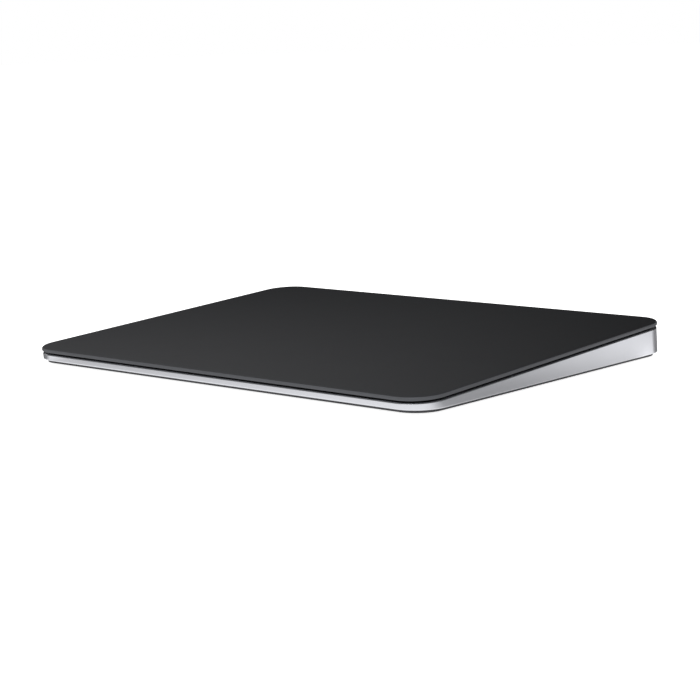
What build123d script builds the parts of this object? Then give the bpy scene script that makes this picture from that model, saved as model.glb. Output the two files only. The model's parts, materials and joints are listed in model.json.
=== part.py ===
"""Wedge-shaped desktop trackpad with a floating glass plate on force-sensing springs.

Lengths are in millimetres. +X is the user's right, +Y points away from the user and +Z is up. The origin is
on the desk, under the middle of the object's bounding box. The glass slopes down towards the user, and what
is built square to it uses plate coordinates: u along +X, v up the slope and a drop measured down from the
glass's top face, along its normal.
"""
from build123d import *
import math
import os

# Overall sizes
width = 160.0
glass_depth = 114.75
front_height = 4.9
rear_height = 10.9
corner_radius = 9.3
overrun = 1.0

# Glass plate and what is bonded under it
glass_thickness = 1.05
glass_chamfer = 0.3
glass_lower_chamfer = 0.15
bond_thickness = 0.1
sensor_board_thickness = 0.6
stiffener_thickness = 0.5
frame_wall = 1.4
board_side_clearance = 0.2
stiffener_margin = 1.6
window_corner_round = 0.6
light_window_width = 24.0
light_window_depth = 20.0
light_window_round = 2.4
light_window_v_share = 0.62

# Movements
press_travel = 0.25
shake_travel = 0.1
running_gap = 0.2

# Enclosure
rim_gap = 0.6
shell_inset = 0.2
wall = 1.4
floor_thickness = 0.8
edge_round = 0.45
rim_break = 0.3

# Underside
foot_height = 0.5
cover_thickness = 0.35
cover_bond_thickness = 0.1
cover_inset = 1.6
cover_lip_height = 0.5
cover_lip_width = 0.6
cover_lip_fit = 0.05
cover_bond_margin = 1.5
foot_diameter = 12.0
foot_edge_round = 0.2
foot_hole_clearance = 0.25
foot_centre_inset = 15.0

# Springs that carry the plate
flexure_length = 26.0
flexure_width = 9.0
flexure_thickness = 0.3
flexure_root = 8.0
flexure_slot_width = 2.6
flexure_slot_end_gap = 1.0
flexure_end_clearance = 0.4
flexure_edge_distance = 16.5
flexure_corner_round = 1.2
pad_diameter = 7.0
pad_thickness = 0.6
cap_thickness = 0.2
gauge_length = 4.2
gauge_width = 2.4
gauge_thickness = 0.1
rail_width = 8.4
rail_end_margin = 1.5

# Small screws, one size throughout
screw_diameter = 1.2
screw_head_diameter = 2.2
screw_head_height = 0.3
screw_socket_diameter = 0.9
screw_socket_depth = 0.2
screw_hole_clearance = 0.05
screw_pitch_on_flexure = 4.6
boss_diameter = 3.4

# Haptic engine
core_height = 1.6
core_leg_height = 0.9
core_leg_width = 4.6
core_leg_length = 4.6
core_spine = 2.2
core_length = 21.0
core_leg_pitch = 12.4
coil_wall = 0.3
coil_side_wall = 1.3
coil_fit = 0.05
coil_end_gap = 0.45
armature_width = 5.0
bracket_thickness = 0.4
bracket_margin = 1.2
bracket_ear = 4.0
engine_centre_v = -9.5

# Battery
battery_thickness = 3.5
battery_rail_gap = 17.7
battery_engine_gap = 6.8
battery_edge_round = 1.1
battery_glue_thickness = 0.1
battery_glue_width = 9.0
battery_board_width = 2.6
battery_board_thickness = 0.6
battery_tab_gap = 0.3
battery_strip_gap = 1.0

# Logic board
board_thickness = 0.8
board_standoff = 1.0
board_wall_gap = 0.9
strip_width = 10.0
strip_rail_gap = 10.0
wing_width = 9.6
wing_rail_gap = 0.8
wing_front_v = -14.0
processor_size = 7.0
touch_controller_size = 8.0
charger_size = 4.0
force_sensor_width = 4.0
force_sensor_depth = 5.0
chip_place_shares = {
    "processor_chip": 0.3,
    "touch_controller_chip": 0.52,
    "charger_chip": -0.22,
    "force_sensor_chip": 0.71,
}
chip_height = 0.9
shield_height = 1.4
connector_width = 3.2
connector_height = 0.8
capacitor_size = 1.0
capacitor_pitch = 1.5
capacitors_per_side = 3
pin_mark_diameter = 0.5
pin_mark_depth = 0.2

# Charging socket in the rear wall
socket_width = 8.94
socket_height = 3.26
socket_wall = 0.3
socket_depth = 7.0
socket_recess = 0.25
socket_fit = 0.15
socket_back = 1.6
socket_mouth_break = 0.25
tongue_width = 6.69
tongue_thickness = 0.7
tongue_setback = 0.7
contact_pitch = 0.5
contact_width = 0.25
contact_length = 3.4
contact_thickness = 0.04
contacts_per_side = 12
strap_thickness = 0.3
strap_width = 3.0
strap_ear = 3.2

# Power switch in the rear wall
switch_from_side = 42.0
switch_slot_length = 7.0
switch_slot_height = 2.4
switch_knob_length = 3.9
switch_knob_gap = 0.15
switch_end_gap = 0.1
switch_knob_proud = 0.15
switch_bezel_wall = 0.35
switch_bezel_depth = 0.8
switch_flange = 0.35
switch_flange_thickness = 0.4
switch_stem_width = 1.6
switch_stem_height = 0.5
switch_stem_gap = 0.12
switch_stem_reach = 2.2
switch_housing_width = 9.0
switch_housing_depth = 3.2
switch_housing_height = 3.6
switch_flag_thickness = 0.1
switch_flag_gap = 0.02
knob_groove_width = 0.3
knob_groove_depth = 0.15
knob_grooves = 4

# Aerial, at the left end of the logic board
aerial_length = 9.5
aerial_depth = 5.0
aerial_height = 4.2
aerial_gap = 0.8
aerial_trace_width = 1.0
aerial_trace_thickness = 0.08
aerial_short_bar_share = 0.7

# Flat cables
ribbon_thickness = 0.12
battery_ribbon_width = 8.0
haptic_ribbon_width = 7.0
sensor_ribbon_width = 9.0
gauge_ribbon_width = 2.0
ribbon_bend = 0.6

# Tilt of the glass, and heights that follow from the stacks
tilt = math.asin((rear_height - front_height) / glass_depth)
sin_t, cos_t = math.sin(tilt), math.cos(tilt)
plate_z = (front_height + rear_height) / 2
frame_inset = shell_inset + wall + running_gap + 2 * shake_travel
air_gap = running_gap + 2 * shake_travel
rim_drop = glass_thickness + rim_gap
sensor_drop = glass_thickness + bond_thickness
stiffener_drop = sensor_drop + sensor_board_thickness
stiffener_under = stiffener_drop + stiffener_thickness
cap_drop = stiffener_under + pad_thickness
flexure_drop = cap_drop + cap_thickness
rail_drop = flexure_drop + flexure_thickness
engine_drop = stiffener_under + press_travel + running_gap
bracket_drop = engine_drop + core_height
cover_z = foot_height
cover_bond_z = cover_z + cover_thickness
underside_z = cover_bond_z + cover_bond_thickness
wall_foot_z = cover_bond_z + cover_lip_height
floor_z = underside_z + floor_thickness
board_z = floor_z + board_standoff
board_top_z = board_z + board_thickness
socket_z = board_top_z + socket_height / 2
reach = rear_height + overrun


def drop_at(v, z):
    """Drop below the glass, at plate station v, of the point at height z."""
    return (plate_z + v * sin_t - z) / cos_t


def centred_plate_y():
    """Y of the plate's centre that puts the origin under the middle of the bounding box."""
    front = -glass_depth / 2 * cos_t + glass_chamfer * sin_t
    rear_v = glass_depth / 2 - shell_inset
    rear = rear_v * cos_t + drop_at(rear_v, wall_foot_z + edge_round) * sin_t
    rear += edge_round * (1 - 1 / cos_t)
    return -(front + rear) / 2


plate_y = centred_plate_y()
plate_frame = Location((0, plate_y, plate_z), (math.degrees(tilt), 0, 0))
plate_normal = Vector(0, -sin_t, cos_t)
inner_half_u = width / 2 - shell_inset - wall
inner_half_v = glass_depth / 2 - shell_inset - wall


def wall_y(v, z):
    """Y, at height z, of a plane that stands square to the plate at station v."""
    return plate_y + v * cos_t + drop_at(v, z) * sin_t


def station(y, z):
    """Plate station v of the point at (y, z)."""
    return (y - plate_y) * cos_t + (z - plate_z) * sin_t


def slab(size_u, size_v, radius, drop, thickness, u=0.0, v=0.0):
    """Flat plate with round corners, parallel to the glass, its top face at the given drop."""
    outline = RectangleRounded(size_u, size_v, radius) if radius > 0 else Rectangle(size_u, size_v)
    return plate_frame * extrude(Pos(u, v, -drop) * outline, amount=-thickness)


def inset_slab(inset, drop, thickness):
    """Flat plate with the glass's outline, drawn in by inset all round."""
    radius = max(corner_radius - inset, edge_round)
    return slab(width - 2 * inset, glass_depth - 2 * inset, radius, drop, thickness)


def above(z):
    """Everything at or above height z."""
    span = width + glass_depth
    return Pos(0, 0, z) * Box(span, span, span, align=(Align.CENTER, Align.CENTER, Align.MIN))


def wedge(inset, drop, bottom_z):
    """Body square to the glass, from a drop below it to a level bottom."""
    return inset_slab(inset, drop, reach) & above(bottom_z)


def block(size_x, size_y, size_z, x, y, z):
    """Box by its size, the centre of its base and the height of its base."""
    base = (Align.CENTER, Align.CENTER, Align.MIN)
    return Pos(x, y, z) * Box(size_x, size_y, size_z, align=base)


def plate_post(diameter, u, v, drop, length):
    """Round post or hole along the plate's normal, its top at the given drop."""
    return plate_frame * Pos(u, v, -drop) * Cylinder(
        diameter / 2, length, align=(Align.CENTER, Align.CENTER, Align.MAX)
    )


def stadium_y(length, height, depth, x, y, z):
    """Bar of stadium section along Y, its rear face at y and centred on (x, z)."""
    outline = SlotOverall(length, height)
    return Pos(x, y, z) * Rot(90, 0, 0) * extrude(outline, amount=depth)


def screw(length):
    """Screw along -Z with its head's underside at the origin, and a hexagonal socket in the head."""
    head = Cylinder(
        screw_head_diameter / 2, screw_head_height, align=(Align.CENTER, Align.CENTER, Align.MIN)
    )
    shank = Cylinder(screw_diameter / 2, length, align=(Align.CENTER, Align.CENTER, Align.MAX))
    socket = Pos(0, 0, screw_head_height) * extrude(
        RegularPolygon(screw_socket_diameter / 2, 6), amount=-screw_socket_depth
    )
    return head + shank - socket


def hole_below(x, y, z, length):
    """Screw hole down from (x, y, z)."""
    radius = screw_diameter / 2 + screw_hole_clearance
    return Pos(x, y, z) * Cylinder(radius, length, align=(Align.CENTER, Align.CENTER, Align.MAX))


def ribbon(points, ribbon_width, bends):
    """Flat cable, level across: a thin band swept along runs joined by arcs."""
    path = FilletPolyline(*points, radius=bends)
    start = path.edges()[0]
    first = Plane(origin=start @ 0, z_dir=start % 0, x_dir=(0, 1, 0))
    return sweep(first * Rectangle(ribbon_width, ribbon_thickness), path)


def group(shapes):
    """Several separate solids as one node."""
    return Compound(children=[solid for shape in shapes for solid in shape.solids()])


# Places that several pieces share, in plate coordinates
flexure_v = glass_depth / 2 - flexure_edge_distance
flexure_outer_u = inner_half_u - flexure_end_clearance
flexure_centre_u = flexure_outer_u - flexure_length / 2
flexure_root_u = flexure_outer_u - flexure_root / 2
flexure_tip_u = flexure_outer_u - flexure_length + flexure_width / 2
flexure_slot_start_u = flexure_outer_u - flexure_root
flexure_slot_end_u = flexure_tip_u + pad_diameter / 2 + flexure_slot_end_gap
flexure_slot_u = (flexure_slot_start_u + flexure_slot_end_u) / 2
flexure_slot_length = flexure_slot_start_u - flexure_slot_end_u
corners = {
    "front_left": (-1, -1),
    "front_right": (1, -1),
    "rear_left": (-1, 1),
    "rear_right": (1, 1),
}
engine_half_u = armature_width / 2 + air_gap + core_leg_length + core_spine
engine_half_v = core_length / 2
bracket_half_u = engine_half_u + bracket_margin
bracket_half_v = engine_half_v + bracket_margin
bracket_screws = [
    (side * (bracket_half_u + bracket_ear / 2), engine_centre_v + end * (engine_half_v - boss_diameter / 2))
    for side in (-1, 1)
    for end in (-1, 1)
]

# Places of the logic board and what stands on it
strip_left_end = -(inner_half_u - rail_width - strip_rail_gap)
chip_sizes = {
    "processor_chip": (processor_size, processor_size),
    "touch_controller_chip": (touch_controller_size, touch_controller_size),
    "charger_chip": (charger_size, charger_size),
    "force_sensor_chip": (force_sensor_width, force_sensor_depth),
}
strip_rear_y = wall_y(inner_half_v, board_top_z) - board_wall_gap
strip_front_y = strip_rear_y - strip_width
strip_centre_y = (strip_rear_y + strip_front_y) / 2
wing_right = inner_half_u - rail_width - wing_rail_gap
wing_left = wing_right - wing_width
wing_x = (wing_left + wing_right) / 2
wing_front_y = plate_y + wing_front_v * cos_t
board_screw_inset = boss_diameter / 2 + running_gap
strap_half = socket_width / 2 + strap_thickness + strap_ear
board_screw_places = [
    (strip_left_end + board_screw_inset, strip_front_y + board_screw_inset),
    (wing_right - board_screw_inset, strip_rear_y - board_screw_inset),
    (wing_x, wing_front_y + board_screw_inset),
]
strap_y = wall_y(inner_half_v, socket_z) - socket_depth / 2
strap_screw_places = [
    (side * (strap_half - strap_ear / 2), strap_y)
    for side in (-1, 1)
]
socket_mouth_y = wall_y(glass_depth / 2 - shell_inset, socket_z) - socket_recess

# Places of the battery
battery_rear_y = strip_front_y - battery_strip_gap
battery_front_y = wall_y(engine_centre_v + bracket_half_v, floor_z) + battery_engine_gap
battery_depth = battery_rear_y - battery_front_y
battery_y = (battery_rear_y + battery_front_y) / 2
battery_right = wing_left - battery_strip_gap - battery_board_width - battery_tab_gap
battery_left = -(inner_half_u - rail_width - battery_rail_gap)
battery_width = battery_right - battery_left
battery_x = (battery_right + battery_left) / 2
battery_z = floor_z + battery_glue_thickness
battery_board_z = board_top_z + connector_height - battery_board_thickness


def make_glass_plate():
    """Black top glass, with a wide ground chamfer on its upper edge."""
    glass = inset_slab(0.0, 0.0, glass_thickness)
    upper = glass.faces().sort_by(Axis.Z)[-1].edges()
    glass = chamfer(upper, glass_chamfer)
    lower = glass.faces().sort_by(lambda face: face.center().dot(plate_normal))[0].edges()
    return chamfer(lower, glass_lower_chamfer)


def make_glass_frame():
    """Black rim bonded under the edge of the glass. It closes the gap round the plate."""
    depth = stiffener_under - glass_thickness
    ring = inset_slab(frame_inset, glass_thickness, depth)
    return ring - inset_slab(frame_inset + frame_wall, glass_thickness - overrun, depth + 2 * overrun)


def make_glass_bond():
    """Clear adhesive between the glass and the sensor board."""
    return inset_slab(frame_inset + frame_wall + board_side_clearance, glass_thickness, bond_thickness)


def make_sensor_board():
    """Touch-sensing board as large as the glass allows."""
    inset = frame_inset + frame_wall + board_side_clearance
    return inset_slab(inset, sensor_drop, sensor_board_thickness)


def sensor_window():
    """Opening in the stiffener for the sensor board's connector: size and place."""
    size_u = wing_width
    size_v = sensor_ribbon_width + 2 * running_gap + overrun
    return size_u, size_v, wing_x, sensor_ribbon_v()


def sensor_ribbon_v():
    """Plate station of the sensor board's flat cable."""
    return wing_front_v + sensor_ribbon_width + boss_diameter


def make_stiffener_plate():
    """Steel backing plate with a window for the sensor cable and four lightening windows."""
    inset = frame_inset + frame_wall + board_side_clearance + stiffener_margin
    plate = inset_slab(inset, stiffener_drop, stiffener_thickness)
    cut_drop = stiffener_drop - overrun
    cut_depth = stiffener_thickness + 2 * overrun
    size_u, size_v, u, v = sensor_window()
    plate -= slab(size_u, size_v, window_corner_round, cut_drop, cut_depth, u, v)
    light_u = (flexure_tip_u + engine_half_u) / 2
    light_v = light_window_v_share * flexure_v
    for side, end in corners.values():
        plate -= slab(
            light_window_width, light_window_depth, light_window_round, cut_drop, cut_depth,
            side * light_u, end * light_v,
        )
    return plate


def make_sensor_connector():
    """Cable connector under the sensor board, in the stiffener's window."""
    size_u, _, window_u, v = sensor_window()
    u = window_u - size_u / 2 + running_gap + connector_width / 2
    return slab(connector_width, sensor_ribbon_width, 0.0, stiffener_drop, connector_height, u, v)


def make_armature():
    """Steel bar under the stiffener, which the haptic coils pull from side to side."""
    height = bracket_drop - press_travel - running_gap - stiffener_under
    return slab(armature_width, core_length, 0.0, stiffener_under, height, 0.0, engine_centre_v)


def make_flexure(side, end):
    """Leaf spring: screwed down at its outer end, and carrying the plate at its inner end."""
    leaf = slab(
        flexure_length, flexure_width, flexure_corner_round, flexure_drop, flexure_thickness,
        side * flexure_centre_u, end * flexure_v,
    )
    slot = plate_frame * extrude(
        Pos(side * flexure_slot_u, end * flexure_v, -flexure_drop + overrun)
        * SlotOverall(flexure_slot_length, flexure_slot_width),
        amount=-(flexure_thickness + 2 * overrun),
    )
    leaf -= slot
    for u, v in flexure_screw_places(side, end):
        leaf -= plate_post(
            screw_diameter + 2 * screw_hole_clearance, u, v, flexure_drop - overrun,
            flexure_thickness + 2 * overrun,
        )
    return leaf


def flexure_screw_places(side, end):
    """The two screws of one leaf spring, in plate coordinates."""
    return [
        (side * flexure_root_u, end * flexure_v + across * screw_pitch_on_flexure / 2)
        for across in (-1, 1)
    ]


def make_flexure_screws():
    """Eight screws that hold the leaf springs to the rails."""
    length = flexure_thickness + floor_thickness
    return group(
        plate_frame * Pos(u, v, -flexure_drop) * screw(length)
        for side, end in corners.values()
        for u, v in flexure_screw_places(side, end)
    )


def make_strain_gauges():
    """Foil gauges bonded on the leaf springs' arms, one on each side of each slot."""
    arm_v = (flexure_slot_width + flexure_width) / 4
    return group(
        slab(
            gauge_length, gauge_width, 0.0, flexure_drop - gauge_thickness, gauge_thickness,
            side * flexure_slot_u, end * flexure_v + across * arm_v,
        )
        for side, end in corners.values()
        for across in (-1, 1)
    )


def make_flexure_caps():
    """Steel discs on the tips of the leaf springs."""
    return group(
        plate_post(pad_diameter, side * flexure_tip_u, end * flexure_v, cap_drop, cap_thickness)
        for side, end in corners.values()
    )


def make_gel_pads():
    """Soft silicone discs between the springs' tips and the stiffener."""
    return group(
        plate_post(pad_diameter, side * flexure_tip_u, end * flexure_v, stiffener_under, pad_thickness)
        for side, end in corners.values()
    )


def core_leg_places():
    """Stations of the two legs of each core."""
    return [engine_centre_v + end * core_leg_pitch / 2 for end in (-1, 1)]


def make_haptic_core(side):
    """C-shaped magnet core with two legs that face the armature."""
    spine_u = side * (engine_half_u - core_spine / 2)
    core = slab(core_spine, core_length, 0.0, engine_drop, core_height, spine_u, engine_centre_v)
    leg_u = side * (armature_width / 2 + air_gap + core_leg_length / 2)
    leg_drop = engine_drop + (core_height - core_leg_height) / 2
    for v in core_leg_places():
        core += slab(core_leg_length, core_leg_width, 0.0, leg_drop, core_leg_height, leg_u, v)
    return core


def make_haptic_coil(side, v):
    """Winding round one leg of a core."""
    length = core_leg_length - 2 * coil_end_gap
    u = side * (engine_half_u - core_spine - coil_fit - length / 2)
    height = core_leg_height + 2 * (coil_wall + coil_fit)
    drop = engine_drop + (core_height - height) / 2
    across = core_leg_width + 2 * (coil_side_wall + coil_fit)
    body = slab(length, across, 0.0, drop, height, u, v)
    along_u = body.edges().filter_by(Axis.X)
    body = fillet(along_u, coil_wall)
    opening = slab(
        length + 2 * overrun, core_leg_width + 2 * coil_fit, 0.0, drop + coil_wall,
        core_leg_height + 2 * coil_fit, u, v,
    )
    return body - opening


def make_haptic_bracket():
    """Steel tray that carries the two cores, with four screw ears."""
    plate = slab(
        2 * bracket_half_u, 2 * bracket_half_v, flexure_corner_round, bracket_drop, bracket_thickness,
        0.0, engine_centre_v,
    )
    for u, v in bracket_screws:
        plate += slab(
            bracket_ear + overrun, boss_diameter, boss_diameter / 4, bracket_drop, bracket_thickness,
            u - math.copysign(overrun / 2, u), v,
        )
        plate -= plate_post(
            screw_diameter + 2 * screw_hole_clearance, u, v, bracket_drop - overrun,
            bracket_thickness + 2 * overrun,
        )
    lip_height = core_leg_height
    for side in (-1, 1):
        u = side * (engine_half_u + bracket_thickness / 2 + coil_fit)
        plate += slab(bracket_thickness, core_length, 0.0, bracket_drop - lip_height, lip_height, u,
                      engine_centre_v)
    return plate


def make_haptic_screws():
    """Four screws of the haptic engine's bracket."""
    length = bracket_thickness + floor_thickness
    return group(plate_frame * Pos(u, v, -bracket_drop) * screw(length) for u, v in bracket_screws)


def enclosure_rails():
    """Solid rails inside the side walls, which the leaf springs are screwed to."""
    half_v = flexure_v + flexure_width / 2 + rail_end_margin
    rails = []
    for side in (-1, 1):
        rail = slab(
            rail_width + wall / 2, 2 * half_v, 0.0, rail_drop, reach,
            side * (inner_half_u - rail_width / 2 + wall / 4),
        )
        rails.append(rail & wedge(shell_inset + wall / 2, rim_drop, underside_z + floor_thickness / 2))
    return rails


def make_enclosure():
    """Machined aluminium tray: floor, walls square to the glass, rails, bosses and rear openings."""
    shell = wedge(shell_inset, rim_drop, wall_foot_z)
    shell = fillet(shell.faces().sort_by(Axis.Z)[0].edges(), edge_round)
    rim = shell.faces().sort_by(lambda face: face.center().dot(plate_normal))[-1]
    shell = chamfer(rim.edges(), rim_break)
    shell += level_plate(cover_inset + cover_lip_width + cover_lip_fit, underside_z, floor_thickness)
    shell -= wedge(shell_inset + wall, rim_drop - overrun, floor_z)
    for rail in enclosure_rails():
        shell += rail
    inside = wedge(shell_inset + wall / 2, rim_drop, underside_z + floor_thickness / 2)
    for u, v in bracket_screws:
        boss = plate_post(boss_diameter, u, v, bracket_drop + bracket_thickness, reach)
        shell += boss & inside
    for x, y in board_screw_places + strap_screw_places:
        shell += block(boss_diameter, boss_diameter, board_standoff + floor_thickness / 2, x, y,
                       floor_z - floor_thickness / 2)
    return shell - enclosure_screw_holes() - socket_opening() - switch_opening()


def enclosure_screw_holes():
    """Blind screw holes in the rails and bosses."""
    radius_gap = 2 * screw_hole_clearance
    below = floor_thickness + screw_hole_clearance
    holes = []
    for side, end in corners.values():
        for u, v in flexure_screw_places(side, end):
            holes.append(plate_post(screw_diameter + radius_gap, u, v, rail_drop - overrun, overrun + below))
    for u, v in bracket_screws:
        top = bracket_drop + bracket_thickness
        holes.append(plate_post(screw_diameter + radius_gap, u, v, top - overrun, overrun + below))
    for x, y in board_screw_places + strap_screw_places:
        holes.append(hole_below(x, y, board_z + overrun, overrun + below))
    return Compound(children=holes)


def socket_opening():
    """Opening for the charging socket, with a small break round its mouth."""
    outer_y = wall_y(glass_depth / 2 - shell_inset, socket_z)
    length = socket_width + 2 * socket_fit
    height = socket_height + 2 * socket_fit
    through = stadium_y(length, height, wall + 2 * overrun, 0.0, outer_y + overrun, socket_z)
    mouth = stadium_y(
        length + 2 * socket_mouth_break, height + 2 * socket_mouth_break, overrun + socket_mouth_break,
        0.0, outer_y + overrun, socket_z,
    )
    bevel = mouth.faces().sort_by(Axis.Y)[0].edges()
    return through + chamfer(bevel, socket_mouth_break)


def switch_opening():
    """Slot for the power switch."""
    outer_y = wall_y(glass_depth / 2 - shell_inset, socket_z)
    return stadium_y(
        switch_slot_length, switch_slot_height, wall + 2 * overrun, switch_x, outer_y + overrun, socket_z
    )


def foot_places():
    """The four feet, by corner."""
    half_x = width / 2 - foot_centre_inset
    front_y = plate_y - glass_depth / 2 * cos_t + foot_centre_inset
    rear_y = plate_y + glass_depth / 2 * cos_t - foot_centre_inset
    return {
        name: (side * half_x, front_y if end < 0 else rear_y)
        for name, (side, end) in corners.items()
    }


def level_plate(inset, z, thickness):
    """Level plate under the tray, drawn in from the tray's own footprint."""
    front = wall_y(-glass_depth / 2, underside_z) + inset
    rear = wall_y(glass_depth / 2, underside_z) - inset
    outline = RectangleRounded(width - 2 * inset, rear - front, corner_radius - inset)
    return extrude(Pos(0, (front + rear) / 2, z) * outline, amount=thickness)


def make_bottom_cover():
    """Dark cover: a shallow pan whose lip shows below the tray's walls, with a round hole for each foot."""
    cover = level_plate(cover_inset, cover_z, cover_thickness + cover_lip_height)
    cover -= level_plate(cover_inset + cover_lip_width, cover_bond_z, cover_lip_height + overrun)
    radius = foot_diameter / 2 + foot_hole_clearance
    for x, y in foot_places().values():
        cover -= Pos(x, y, cover_z + cover_thickness / 2) * Cylinder(radius, cover_thickness + 2 * overrun)
    return cover


def make_cover_bond():
    """Adhesive sheet between the tray and its cover, which the feet are stuck to as well."""
    return level_plate(cover_inset + cover_bond_margin, cover_bond_z, cover_bond_thickness)


def make_foot(x, y):
    """Round rubber foot with a softened lower edge."""
    height = foot_height + cover_thickness
    foot = Pos(x, y, 0) * Cylinder(
        foot_diameter / 2, height, align=(Align.CENTER, Align.CENTER, Align.MIN)
    )
    return fillet(foot.edges().sort_by(Axis.Z)[0], foot_edge_round)


def make_battery_cell():
    """Flat pouch cell with soft edges."""
    cell = block(battery_width, battery_depth, battery_thickness, battery_x, battery_y, battery_z)
    return fillet(cell.edges(), battery_edge_round)


def make_battery_glue():
    """Two pull-out adhesive strips under the battery."""
    flat_width = battery_width - 2 * battery_edge_round
    return group(
        block(
            battery_glue_width, battery_depth - 2 * battery_edge_round, battery_glue_thickness,
            battery_x + side * flat_width / 4, battery_y, floor_z,
        )
        for side in (-1, 1)
    )


def battery_board_x():
    """Middle of the battery's protection board."""
    return battery_right + battery_tab_gap + battery_board_width / 2


def make_battery_board():
    """Protection circuit board at the battery's right-hand end."""
    return block(
        battery_board_width, battery_depth - 2 * battery_edge_round, battery_board_thickness,
        battery_board_x(), battery_y, battery_board_z,
    )


def make_battery_tabs():
    """Two metal tabs from the cell to the protection board."""
    length = battery_board_width / 2 + battery_tab_gap
    z = battery_board_z - ribbon_thickness
    return group(
        block(
            length, battery_glue_width / 2, ribbon_thickness, battery_right + length / 2,
            battery_y + side * battery_depth / 4, z,
        )
        for side in (-1, 1)
    )


def make_battery_board_rest():
    """Foam strip that holds the protection board up from the floor."""
    return block(
        battery_board_width - 2 * running_gap, battery_depth / 4, battery_board_z - floor_z,
        battery_board_x(), battery_y, floor_z,
    )


def make_logic_board():
    """L-shaped board: a strip along the rear wall and a wing along the right-hand side."""
    strip = block(
        wing_right - strip_left_end, strip_width, board_thickness,
        (wing_right + strip_left_end) / 2, strip_centre_y, board_z,
    )
    wing = block(
        wing_width, strip_rear_y - wing_front_y, board_thickness,
        wing_x, (strip_rear_y + wing_front_y) / 2, board_z,
    )
    board = strip + wing
    for x, y in board_screw_places + strap_screw_places:
        board -= hole_below(x, y, board_top_z + overrun, board_thickness + 2 * overrun)
    return board


def on_board(size_x, size_y, height, x, y):
    """Component soldered on top of the logic board."""
    return block(size_x, size_y, height, x, y, board_top_z)


def chip_x(name):
    """X of a chip on the rear strip."""
    return chip_place_shares[name] * wing_right


def make_chip(size_x, size_y, x):
    """Chip on the rear strip of the board, with a small mark for its first pin."""
    chip = on_board(size_x, size_y, chip_height, x, strip_centre_y)
    mark = Pos(
        x - size_x / 2 + pin_mark_diameter, strip_centre_y - size_y / 2 + pin_mark_diameter,
        board_top_z + chip_height,
    )
    return chip - mark * Cylinder(pin_mark_diameter / 2, 2 * pin_mark_depth)


def make_radio_shield():
    """Pressed can over the radio."""
    size_x = strip_width
    size_y = strip_width - 2 * capacitor_size
    x = strip_left_end + boss_diameter + 2 * running_gap + size_x / 2
    can = on_board(size_x, size_y, shield_height, x, strip_centre_y)
    hollow = block(
        size_x - 2 * strap_thickness, size_y - 2 * strap_thickness, shield_height - strap_thickness,
        x, strip_centre_y, board_top_z,
    )
    return fillet(can.edges().filter_by(Axis.Z), strap_thickness) - hollow


def make_radio_chip():
    """Radio chip under its can."""
    x = strip_left_end + boss_diameter + 2 * running_gap + strip_width / 2
    return on_board(strip_width / 2, strip_width / 2, chip_height, x, strip_centre_y)


def make_capacitors():
    """Small ceramic parts in rows beside the chips."""
    parts = []
    first = -(capacitors_per_side - 1) / 2 * capacitor_pitch
    for name, (size_x, _) in chip_sizes.items():
        for side in (-1, 1):
            x = chip_x(name) + side * (size_x / 2 + capacitor_size)
            for step in range(capacitors_per_side):
                y = strip_centre_y + first + step * capacitor_pitch
                parts.append(on_board(capacitor_size, capacitor_size / 2, capacitor_size / 2, x, y))
    return group(parts)


def connector_places():
    """Cable connectors on the board: name to (size_x, size_y, x, y)."""
    left_x = wing_left + running_gap + connector_width / 2
    right_x = wing_right - running_gap - connector_width / 2
    haptic_y = wing_front_y + boss_diameter + haptic_ribbon_width / 2
    return {
        "battery": (connector_width, battery_ribbon_width, left_x, battery_y),
        "haptic": (connector_width, haptic_ribbon_width, left_x, haptic_y),
        "sensor": (connector_width, sensor_ribbon_width, right_x, sensor_ribbon_y()),
    }


def sensor_ribbon_y():
    """Y of the sensor cable where it meets the logic board."""
    v = sensor_ribbon_v()
    return wall_y(v, board_top_z)


def make_board_connectors():
    """Low sockets on the logic board for the three flat cables."""
    return group(
        on_board(size_x, size_y, connector_height, x, y)
        for size_x, size_y, x, y in connector_places().values()
    )


def make_board_screws():
    """Screws of the logic board and of the socket's strap."""
    length = board_thickness + floor_thickness
    plain = [Pos(x, y, board_top_z) * screw(length) for x, y in board_screw_places]
    strap = [
        Pos(x, y, board_top_z + strap_thickness) * screw(length) for x, y in strap_screw_places
    ]
    return group(plain + strap)


def make_socket_shell():
    """Steel shell of the charging socket, open towards the rear."""
    outer = stadium_y(socket_width, socket_height, socket_depth, 0.0, socket_mouth_y, socket_z)
    inner = stadium_y(
        socket_width - 2 * socket_wall, socket_height - 2 * socket_wall, socket_depth + 2 * overrun,
        0.0, socket_mouth_y + overrun, socket_z,
    )
    return outer - inner


def make_socket_tongue():
    """Plastic insert: a base that closes the shell's back, and the tongue that carries the contacts."""
    back_y = socket_mouth_y - socket_depth
    base = stadium_y(
        socket_width - 2 * socket_wall, socket_height - 2 * socket_wall, socket_back, 0.0,
        back_y + socket_back, socket_z,
    )
    length = socket_depth - socket_back - tongue_setback
    tongue = block(
        tongue_width, length + socket_back / 2, tongue_thickness,
        0.0, back_y + socket_back + (length - socket_back / 2) / 2, socket_z - tongue_thickness / 2,
    )
    return base + tongue


def make_socket_contacts():
    """Gilt contacts in two rows, above and below the tongue."""
    first = -(contacts_per_side - 1) / 2 * contact_pitch
    y = socket_mouth_y - tongue_setback - contact_width - contact_length / 2
    strips = []
    for step in range(contacts_per_side):
        x = first + step * contact_pitch
        for z in (socket_z + tongue_thickness / 2, socket_z - tongue_thickness / 2 - contact_thickness):
            strips.append(block(contact_width, contact_length, contact_thickness, x, y, z))
    return group(strips)


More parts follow.
